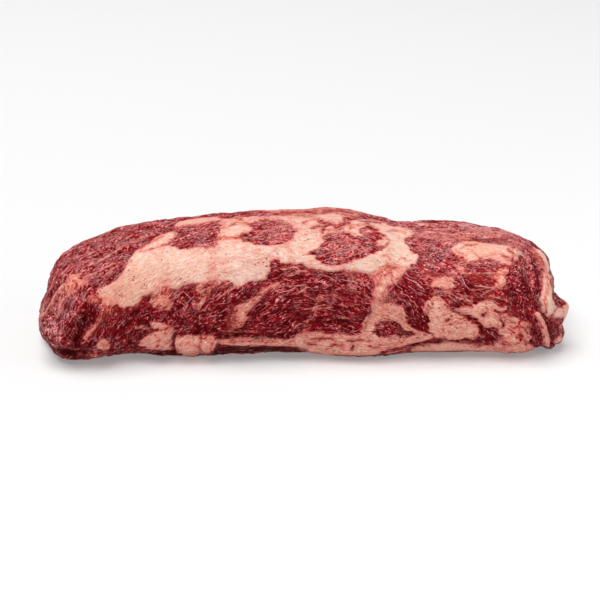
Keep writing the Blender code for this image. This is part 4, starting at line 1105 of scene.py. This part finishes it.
def closed_faces(rings, count):
    """Corner numbers of the quads between neighbouring rings, and of the fans to a pole at each end.

    The corners are the rings' points in order, then the first pole and the last.
    """
    ring, k = np.meshgrid(np.arange(rings - 1), np.arange(count), indexing="ij")
    after = (k + 1) % count
    quads = np.stack([ring * count + k, (ring + 1) * count + k, (ring + 1) * count + after,
                      ring * count + after], axis=-1).reshape(-1, 4)
    k = np.arange(count)
    after, last = (k + 1) % count, (rings - 1) * count
    fans = np.concatenate([
        np.stack([np.full(count, rings * count), k, after], axis=-1),
        np.stack([np.full(count, rings * count + 1), last + after, last + k], axis=-1),
    ])
    return quads, fans


def strand_mesh(points, normals, radius):
    """Tapering tubes: rings of a few corners around each path, closed by a pole at both ends."""
    strands, stations = points.shape[:2]
    tangent = np.gradient(points, axis=1)
    side = np.cross(normals, tangent)
    side /= np.linalg.norm(side, axis=-1, keepdims=True)
    up = np.cross(tangent, side)
    up /= np.linalg.norm(up, axis=-1, keepdims=True)
    share = (np.arange(stations) + 0.5) / stations
    thick = radius[:, None] * np.sin(np.pi * share) ** STRAND_TAPER
    turn = np.arange(STRAND_SIDES) * 2 * np.pi / STRAND_SIDES
    ring = side[:, :, None] * np.cos(turn)[:, None] + up[:, :, None] * np.sin(turn)[:, None]
    tubes = points[:, :, None] + ring * thick[:, :, None, None]
    corners = np.concatenate([tubes.reshape(strands, -1, 3), points[:, [0, -1]]], axis=1)
    quads, fans = closed_faces(stations, STRAND_SIDES)
    start = np.arange(strands)[:, None, None] * corners.shape[1]
    return mesh_from("strands", corners.reshape(-1, 3), (quads + start).reshape(-1, 4),
                     (fans + start).reshape(-1, 3))


def mesh_from(name, points, *faces):
    """A smooth-shaded mesh from an array of points and arrays of faces, each with one number of corners."""
    corners = np.concatenate([part.reshape(-1) for part in faces])
    sizes = np.concatenate([np.full(len(part), part.shape[1]) for part in faces])
    mesh = bpy.data.meshes.new(name)
    mesh.vertices.add(len(points))
    mesh.vertices.foreach_set("co", np.asarray(points, np.float32).reshape(-1))
    mesh.loops.add(len(corners))
    mesh.loops.foreach_set("vertex_index", corners.astype(np.int32))
    mesh.polygons.add(len(sizes))
    mesh.polygons.foreach_set("loop_start", np.concatenate([[0], np.cumsum(sizes)[:-1]]).astype(np.int32))
    mesh.update(calc_edges=True)
    mesh.shade_smooth()
    mesh.validate()
    return mesh


def closed_roast(skin):
    """The skin's grid closed by a pole at each end, with the skin's chart as a UV map."""
    mesh = mesh_from("beef", with_poles(skin.grid), *closed_faces(*skin.grid.shape[:2]))
    chart = skin.chart / MM
    corner_chart = np.stack([chart[:-1, :-1], chart[1:, :-1], chart[1:, 1:], chart[:-1, 1:]], axis=2)
    fan_chart = [
        np.stack([(before + beyond) / 2, before, beyond], axis=1)
        for before, beyond in ((chart[0, :-1], chart[0, 1:]), (chart[-1, 1:], chart[-1, :-1]))
    ]
    uv = np.concatenate([piece.reshape(-1, 2) for piece in [corner_chart] + fan_chart])
    mesh.uv_layers.new(name="skin").data.foreach_set("uv", uv.astype(np.float32).reshape(-1))
    return mesh


def store(mesh, name, values):
    """One number or three for each point of the mesh, to be read by the material."""
    kind, field = ("FLOAT", "value") if values.ndim == 1 else ("FLOAT_VECTOR", "vector")
    mesh.attributes.new(name, kind, "POINT").data.foreach_set(field, values.astype(np.float32).reshape(-1))


# ---------------------------------------------------------------------------------------------------------
# Materials
# ---------------------------------------------------------------------------------------------------------


class Value:
    """A number in a material: arithmetic on it adds Math nodes."""

    def __init__(self, nodes, socket):
        self.nodes, self.socket = nodes, socket

    def maths(self, operation, *others):
        return self.nodes.add("ShaderNodeMath", {"operation": operation}, self, *others)

    def __add__(self, other):
        return self.maths("ADD", other)

    __radd__ = __add__

    def __sub__(self, other):
        return self.maths("SUBTRACT", other)

    def __rsub__(self, other):
        return self.nodes.add("ShaderNodeMath", {"operation": "SUBTRACT"}, other, self)

    def __mul__(self, other):
        return self.maths("MULTIPLY", other)

    def __abs__(self):
        return self.maths("ABSOLUTE")

    def clamped(self):
        return self.nodes.add("ShaderNodeClamp", {}, self)

    def between(self, low, high):
        """0 at low, 1 at high, smooth between."""
        return self.nodes.add("ShaderNodeMapRange", {"interpolation_type": "SMOOTHSTEP"}, self, low, high)


class Nodes:
    """The nodes of one material."""

    def __init__(self, name):
        self.material = bpy.data.materials.new(name)
        self.material.use_nodes = True
        self.tree = self.material.node_tree
        self.shader = self.tree.nodes["Principled BSDF"]

    def add(self, kind, settings, *inputs, output=0, **named):
        """One output of a new node, from its settings and its sockets, in order or by name."""
        node = self.tree.nodes.new(kind)
        for setting, value in settings.items():
            setattr(node, setting, value)
        for key, value in list(enumerate(inputs)) + list(named.items()):
            socket = node.inputs[key if isinstance(key, int) else key.replace("_", " ")]
            self.feed(socket, value)
        return Value(self, node.outputs[output])

    def feed(self, socket, value):
        if isinstance(value, Value):
            self.tree.links.new(value.socket, socket)
        else:
            socket.default_value = value

    def set(self, **sockets):
        """Sets or links the shader's own sockets."""
        for name, value in sockets.items():
            self.feed(self.shader.inputs[name.replace("_", " ")], value)

    def stored(self, name, output="Fac"):
        return self.add("ShaderNodeAttribute", {"attribute_name": name}, output=output)

    def blend(self, share, first, second):
        """The first colour where the share is 0 and the second where it is 1."""
        node = self.tree.nodes.new("ShaderNodeMix")
        node.data_type = "RGBA"
        self.feed(node.inputs[0], share)
        for socket, colour in ((node.inputs[6], first), (node.inputs[7], second)):
            self.feed(socket, (*colour, 1.0) if isinstance(colour, tuple) else colour)
        return Value(self, node.outputs[2])

    def part(self, vector, axis):
        return self.add("ShaderNodeSeparateXYZ", {}, vector, output=axis)

    def vector(self, x, y, z):
        return self.add("ShaderNodeCombineXYZ", {}, x, y, z)

    def texture(self, place, size, detail=2.0, roughness=0.55, dimensions="3D"):
        """Noise from 0 to 1 whose grain is the given size in millimetres of the place's own metres."""
        return self.add("ShaderNodeTexNoise", {"noise_dimensions": dimensions}, Vector=place,
                        Scale=MM / size, Detail=detail, Roughness=roughness)


def swings(*noises):
    """Noises from 0 to 1, each about its middle and times its amount, added up."""
    return sum((noise - 0.5) * amount for noise, amount in noises)


def grain_texture(nodes, u, v, weights, long, short, shift, detail):
    """Noise along the grain: one stretched noise for each fixed direction, added up by the weights."""
    total = 0.0
    for degrees, weight in zip(GRAIN_ANGLES, weights):
        cos, sin = float(np.cos(np.radians(degrees))), float(np.sin(np.radians(degrees)))
        place = nodes.vector((u * cos + v * sin) * (short / long) + shift, v * cos - u * sin, 0.0)
        total = nodes.texture(place, short, detail, dimensions="2D") * weight + total
    return total


# Colours of beef, as a camera's linear red, green and blue
# painted shade in crevices and creases
CREVICE_SHADE = (0.078, 0.001, 0.003)
DEEP_LEAN = (0.150, 0.002, 0.005)
LEAN = (0.390, 0.016, 0.023)
CRIMSON = (0.380, 0.004, 0.014)
# pale lean, and painted sheen where the lean is lightest on the top
LIGHT_LEAN_AND_SHEEN = (0.770, 0.140, 0.148)
BLOODY = (0.410, 0.010, 0.018)
CREAM_FAT = (0.900, 0.670, 0.570)
IVORY_FAT = (0.890, 0.570, 0.400)
PINK_FAT = (0.860, 0.335, 0.255)
SALMON_FAT = (0.770, 0.175, 0.135)
# pale threads and edges of fat, and painted glints on the lightest fibres
THREAD_AND_GLINT = (0.960, 0.440, 0.420)
# painted glint: a bright speck of reflected light laid into the colour
PAINTED_GLINT = (1.000, 0.680, 0.650)
# pores, and painted shade in the creases and grooves of the fat
PIT_AND_SHADE = (0.300, 0.055, 0.040)
SINEW_RED, SINEW_PALE = (0.74, 0.12, 0.13), (0.95, 0.42, 0.40)

# Fat as it reddens: the redness where each colour starts and where it is full
FAT_SHADES = (
    (-0.10, 0.60, PINK_FAT), (0.50, 1.05, SALMON_FAT), (1.00, 1.45, BLOODY), (1.45, 2.00, DEEP_LEAN),
)
DRIFT, DRIFT_SIZE = 0.007, 8.0  # metres by which noise bends the grain, and that noise's millimetres
PORE_SPACING, LOBULE_SIZE = 4.2, 5.0  # millimetres


def beef_material():
    """Fat and lean in one skin: which one it is comes from the stored distance, roughened by fine noise."""
    nodes = Nodes("raw_beef_skin")
    fat, blush = nodes.stored("fat"), nodes.stored("blush")
    tone, dark = nodes.stored("tone"), nodes.stored("dark")
    cut, ivory = nodes.stored("cut"), nodes.stored("ivory")
    chart = nodes.add("ShaderNodeUVMap", {"uv_map": "skin"})
    place = nodes.add("ShaderNodeTexCoord", {}, output="Object")
    drift = nodes.add("ShaderNodeTexNoise", {}, Vector=place, Scale=MM / DRIFT_SIZE, Detail=2.0,
                      output="Color")
    u, v = (nodes.part(chart, axis) + (nodes.part(drift, axis) - 0.5) * DRIFT for axis in (0, 1))
    weights = [
        nodes.part(nodes.stored(name, "Vector"), axis)
        for name in ("grain", "grain_more")
        for axis in (0, 1, 2)
    ]

    def along(long, short, shift, detail, across):
        """Noise along the grain, and the given noise where the grain is cut across."""
        return grain_texture(nodes, u, v, weights, long, short, shift, detail) * (1 - cut) + across * cut

    # noise at several sizes, from 0 to 1: along the grain, and the same in all directions
    fine = nodes.texture(place, 1.6, 3.0, 0.6)
    knots = nodes.texture(place, 3.4)
    broad = nodes.texture(place, 14.0)
    fibre = along(7.0, 1.5, 0.37, 2.0, fine)
    thread = along(11.0, 1.9, 5.13, 1.0, nodes.texture(place, 2.2, 1.0))
    hair = along(3.6, 0.75, 2.71, 1.0, nodes.texture(place, 0.9, 1.0))
    grainy = swings((fibre, 2.5), (thread, 1.7), (hair, 5.2), (fine, 3.2), (knots, 1.6), (broad, 1.2))

    # where the fat is, in millimetres inside its roughened edge
    edge = fat + swings((fibre, 3.6), (fine, 1.8), (knots, 2.6))
    fatness = edge.between(-1.0, 1.0)
    bleed = edge.between(-2.0, 0.4)
    rim = 1 - edge.between(0.4, 3.5)
    hem = (edge.between(0.1, 0.5) - edge.between(0.9, 1.8)) * (1 - blush).clamped()

    # the lean, with threads and painted glints in patches
    patches = nodes.texture(place, 8.0).between(0.48, 0.60) * tone.between(-0.35, 0.45)
    lines = (1 - abs(thread - 0.5) * 26.0).clamped() * patches * (0.70 - cut * 0.45)
    painted_glint = nodes.texture(place, 1.0, 0.0).between(0.70, 0.80) * (tone * 0.8 + 0.25).clamped() * patches

    # the lightness carries painted sheen on the top and painted shade low on the front
    lightness = tone + grainy * (1 + (0.2 - tone).clamped() * 0.7 + cut * 0.5)
    stain = nodes.texture(place, 11.0).between(0.52, 0.62)
    lean = nodes.blend(lightness.between(-0.15, 0.40), DEEP_LEAN, LEAN)
    # painted shade in the darkest crevices between the fibres
    lean = nodes.blend(lightness.between(-0.30, -1.10) * 0.8, lean, CREVICE_SHADE)
    lean = nodes.blend(stain * 0.5, lean, CRIMSON)
    # painted sheen where the lean is light
    lean = nodes.blend(lightness.between(0.45, 1.15), lean, LIGHT_LEAN_AND_SHEEN)
    # painted glints on the lightest fibres
    lean = nodes.blend(lightness.between(1.10, 1.70), lean, THREAD_AND_GLINT)
    lean = nodes.blend(bleed * 0.50, lean, BLOODY)
    # painted shade in the creases and grooves
    lean = nodes.blend(dark.clamped() * (1 - bleed * 0.6), lean, CREVICE_SHADE)
    lean = nodes.blend(lines, lean, THREAD_AND_GLINT)
    lean = nodes.blend(painted_glint, lean, PAINTED_GLINT)

    # the fat, with pores, cracks between its lobules and creases; creases and grooves get painted shade
    pore = nodes.add("ShaderNodeTexVoronoi", {"feature": "F1"}, Vector=place, Scale=MM / PORE_SPACING)
    pore = (1 - pore.between(0.10, 0.20)) * broad.between(0.40, 0.52)
    lobule = nodes.add("ShaderNodeTexVoronoi", {"feature": "DISTANCE_TO_EDGE"}, Vector=place,
                       Scale=MM / LOBULE_SIZE)
    crack = 1 - (lobule + swings((fine, 0.3))).between(0.0, 0.10)
    crack = crack * blush.between(0.2, 0.5) * knots.between(0.46, 0.58)
    crease = (1 - abs(thread - 0.5) * 20.0).clamped() * broad.between(0.50, 0.58) * (blush + 0.30).clamped()
    shade = blush + grainy * (0.16 + blush * 0.34) + rim * 0.22 + crease * 0.8
    suet = nodes.blend((ivory + swings((knots, 1.2), (fibre, 1.6))).clamped(), CREAM_FAT, IVORY_FAT)
    for starts, full, colour in FAT_SHADES:
        suet = nodes.blend(shade.between(starts, full), suet, colour)
    suet = nodes.blend(hem * 0.55, suet, THREAD_AND_GLINT)
    # pores and cracks, and painted shade in creases and grooves
    pits_and_shade = pore * 0.80 + crack * 0.30 + crease * blush * 1.8 + dark * 0.8
    suet = nodes.blend(pits_and_shade.clamped(), suet, PIT_AND_SHADE)

    colour = nodes.blend(fatness, lean, suet)

    # fine bumps, softer on the fat, in millimetres
    height = swings((fibre, 1.8 - fatness * 0.7), (fine, 1.2 - fatness * 0.5), (hair, 1.7 - fatness * 0.9),
                    (knots, 0.7)) + fatness * (0.3 - crack * 0.2 - pore * 0.4)
    bump = nodes.add("ShaderNodeBump", {}, Strength=1.0, Distance=0.0010, Height=height)
    gloss = 0.38 + fatness * 0.08 + swings((fine, 0.3))
    nodes.set(Base_Color=colour, Roughness=gloss, Normal=bump, Subsurface_Weight=0.04,
              Subsurface_Radius=(0.0024, 0.0008, 0.0006), Subsurface_Scale=1.0, Specular_IOR_Level=0.06,
              IOR=1.38)
    return nodes.material


def strand_material():
    """Damp sinew, from reddish to nearly white."""
    nodes = Nodes("sinew")
    pale = nodes.stored("pale")
    place = nodes.add("ShaderNodeTexCoord", {}, output="Object")
    patchy = nodes.texture(place, 2.5)
    colour = nodes.blend((pale + swings((patchy, 1.5))).clamped(), SINEW_RED, SINEW_PALE)
    height = nodes.texture(place, 0.6)
    bump = nodes.add("ShaderNodeBump", {}, Strength=0.6, Distance=0.0003, Height=height)
    nodes.set(Base_Color=colour, Roughness=0.28 + swings((patchy, 0.2)), Normal=bump, Subsurface_Weight=0.1,
              Subsurface_Radius=(0.0020, 0.0010, 0.0008), Subsurface_Scale=1.0, IOR=1.40)
    return nodes.material


# ---------------------------------------------------------------------------------------------------------
# Scene
# ---------------------------------------------------------------------------------------------------------


def link(name, data):
    """A new object at the origin, in the scene."""
    thing = bpy.data.objects.new(name, data)
    bpy.context.scene.collection.objects.link(thing)
    return thing


def add_roast(skin):
    """The skin of the roast with the numbers that its material reads at each point."""
    mesh = closed_roast(skin)
    for name in ("fat", "blush", "ivory", "tone", "dark", "cut"):
        store(mesh, name, with_poles(getattr(skin, name)))
    store(mesh, "grain", with_poles(skin.weights[..., :3]))
    store(mesh, "grain_more", with_poles(skin.weights[..., 3:]))
    mesh.materials.append(beef_material())
    roast = link("beef_skin", mesh)
    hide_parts("roast")
    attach(roast, "root")


def add_strands(skin):
    """Loose threads of sinew that lie on the lean."""
    random = np.random.default_rng(STRAND_SEED)
    ring, k = scattered_strands(skin, random)
    points = sample(skin.grid, ring, k)
    normals = sample(normals_of(skin.base), ring, k)
    radius = random.uniform(*STRAND_RADIUS, len(points)) / MM
    drawn, drawn_normals = drawn_strands(skin)
    points, normals = np.concatenate([points, drawn]), np.concatenate([normals, drawn_normals])
    radius = np.concatenate([radius, [thickness / 2 / MM for thickness, _ in SHOWN_STRANDS]])
    mesh = strand_mesh(points + normals * radius[:, None, None] * STRAND_LIFT, normals, radius)
    pale = random.uniform(0.0, 1.0, len(points))
    store(mesh, "pale", np.repeat(pale, STRAND_STATIONS * STRAND_SIDES + 2))
    mesh.materials.append(strand_material())
    strands = link("sinew_strands", mesh)
    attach(strands, "root")


FLOOR_REACH = 12.0
FLOOR_COLOUR = (0.62, 0.62, 0.62, 1.0)
FLOOR_GLOW = 0.235  # keeps the far floor as pale as the near one
WHITE = (1.0, 1.0, 1.0, 1.0)


def add_table():
    """A plain pale floor."""
    r = FLOOR_REACH
    corners = np.array([(-r, -r, 0), (r, -r, 0), (r, r, 0), (-r, r, 0)])
    mesh = mesh_from("table", corners, np.array([[0, 1, 2, 3]]))
    nodes = Nodes("pale_table")
    nodes.set(Base_Color=FLOOR_COLOUR, Roughness=0.9, Specular_IOR_Level=0.1,
              Emission_Color=WHITE, Emission_Strength=FLOOR_GLOW)
    mesh.materials.append(nodes.material)
    link("table", mesh)


def facing(direction):
    """Euler angles that turn a lamp or camera, which looks down its own -Z, to look along the direction."""
    return Vector(direction).to_track_quat("-Z", "Y").to_euler()


# Lamps: watts, the two sides, where it is, what it faces
SOFTBOX = (477.0, (6.0, 4.8), (-1.68, -0.40, 6.40), TARGET)
SIDE_PANEL = (1.9, (0.7, 0.7), (0.85, -0.40, 0.42), (0.19, -0.03, 0.03))
SUN_POWER, SUN_ANGLE, SUN_HEADING = 0.45, np.radians(9), (0.15, 0.62, -0.85)
ROOM_LIGHT = 0.20


def add_panel(name, watts, sides, place, aim):
    """A rectangular lamp that faces its aim."""
    data = bpy.data.lights.new(name, "AREA")
    data.shape, data.energy = "RECTANGLE", watts
    data.size, data.size_y = sides
    lamp = link(name, data)
    lamp.location = place
    lamp.rotation_euler = facing(np.array(aim) - np.array(place))


def add_lights():
    """A large softbox high above, a weak panel at the right end, a small sun for glints, and a dim room."""
    add_panel("softbox", *SOFTBOX)
    add_panel("side_panel", *SIDE_PANEL)
    sun = bpy.data.lights.new("glints", "SUN")
    sun.energy, sun.angle = SUN_POWER, SUN_ANGLE
    link("glints", sun).rotation_euler = facing(SUN_HEADING)
    world = bpy.data.worlds.new("room")
    world.use_nodes = True
    background = world.node_tree.nodes["Background"].inputs
    background["Color"].default_value = WHITE
    background["Strength"].default_value = ROOM_LIGHT
    bpy.context.scene.world = world
    bpy.context.scene.view_settings.view_transform = "Standard"


def add_camera():
    """The camera at the photograph's viewing angle."""
    data = bpy.data.cameras.new("camera")
    data.lens, data.sensor_width, data.clip_end = LENS, SENSOR, CAMERA_SEES
    camera = link("camera", data)
    camera.location = TARGET + TO_EYE * CAMERA_DISTANCE
    camera.rotation_euler = facing(-TO_EYE)
    bpy.context.scene.camera = camera


skin = Skin()
add_roast(skin)
add_strands(skin)
add_table()
add_lights()
add_camera()
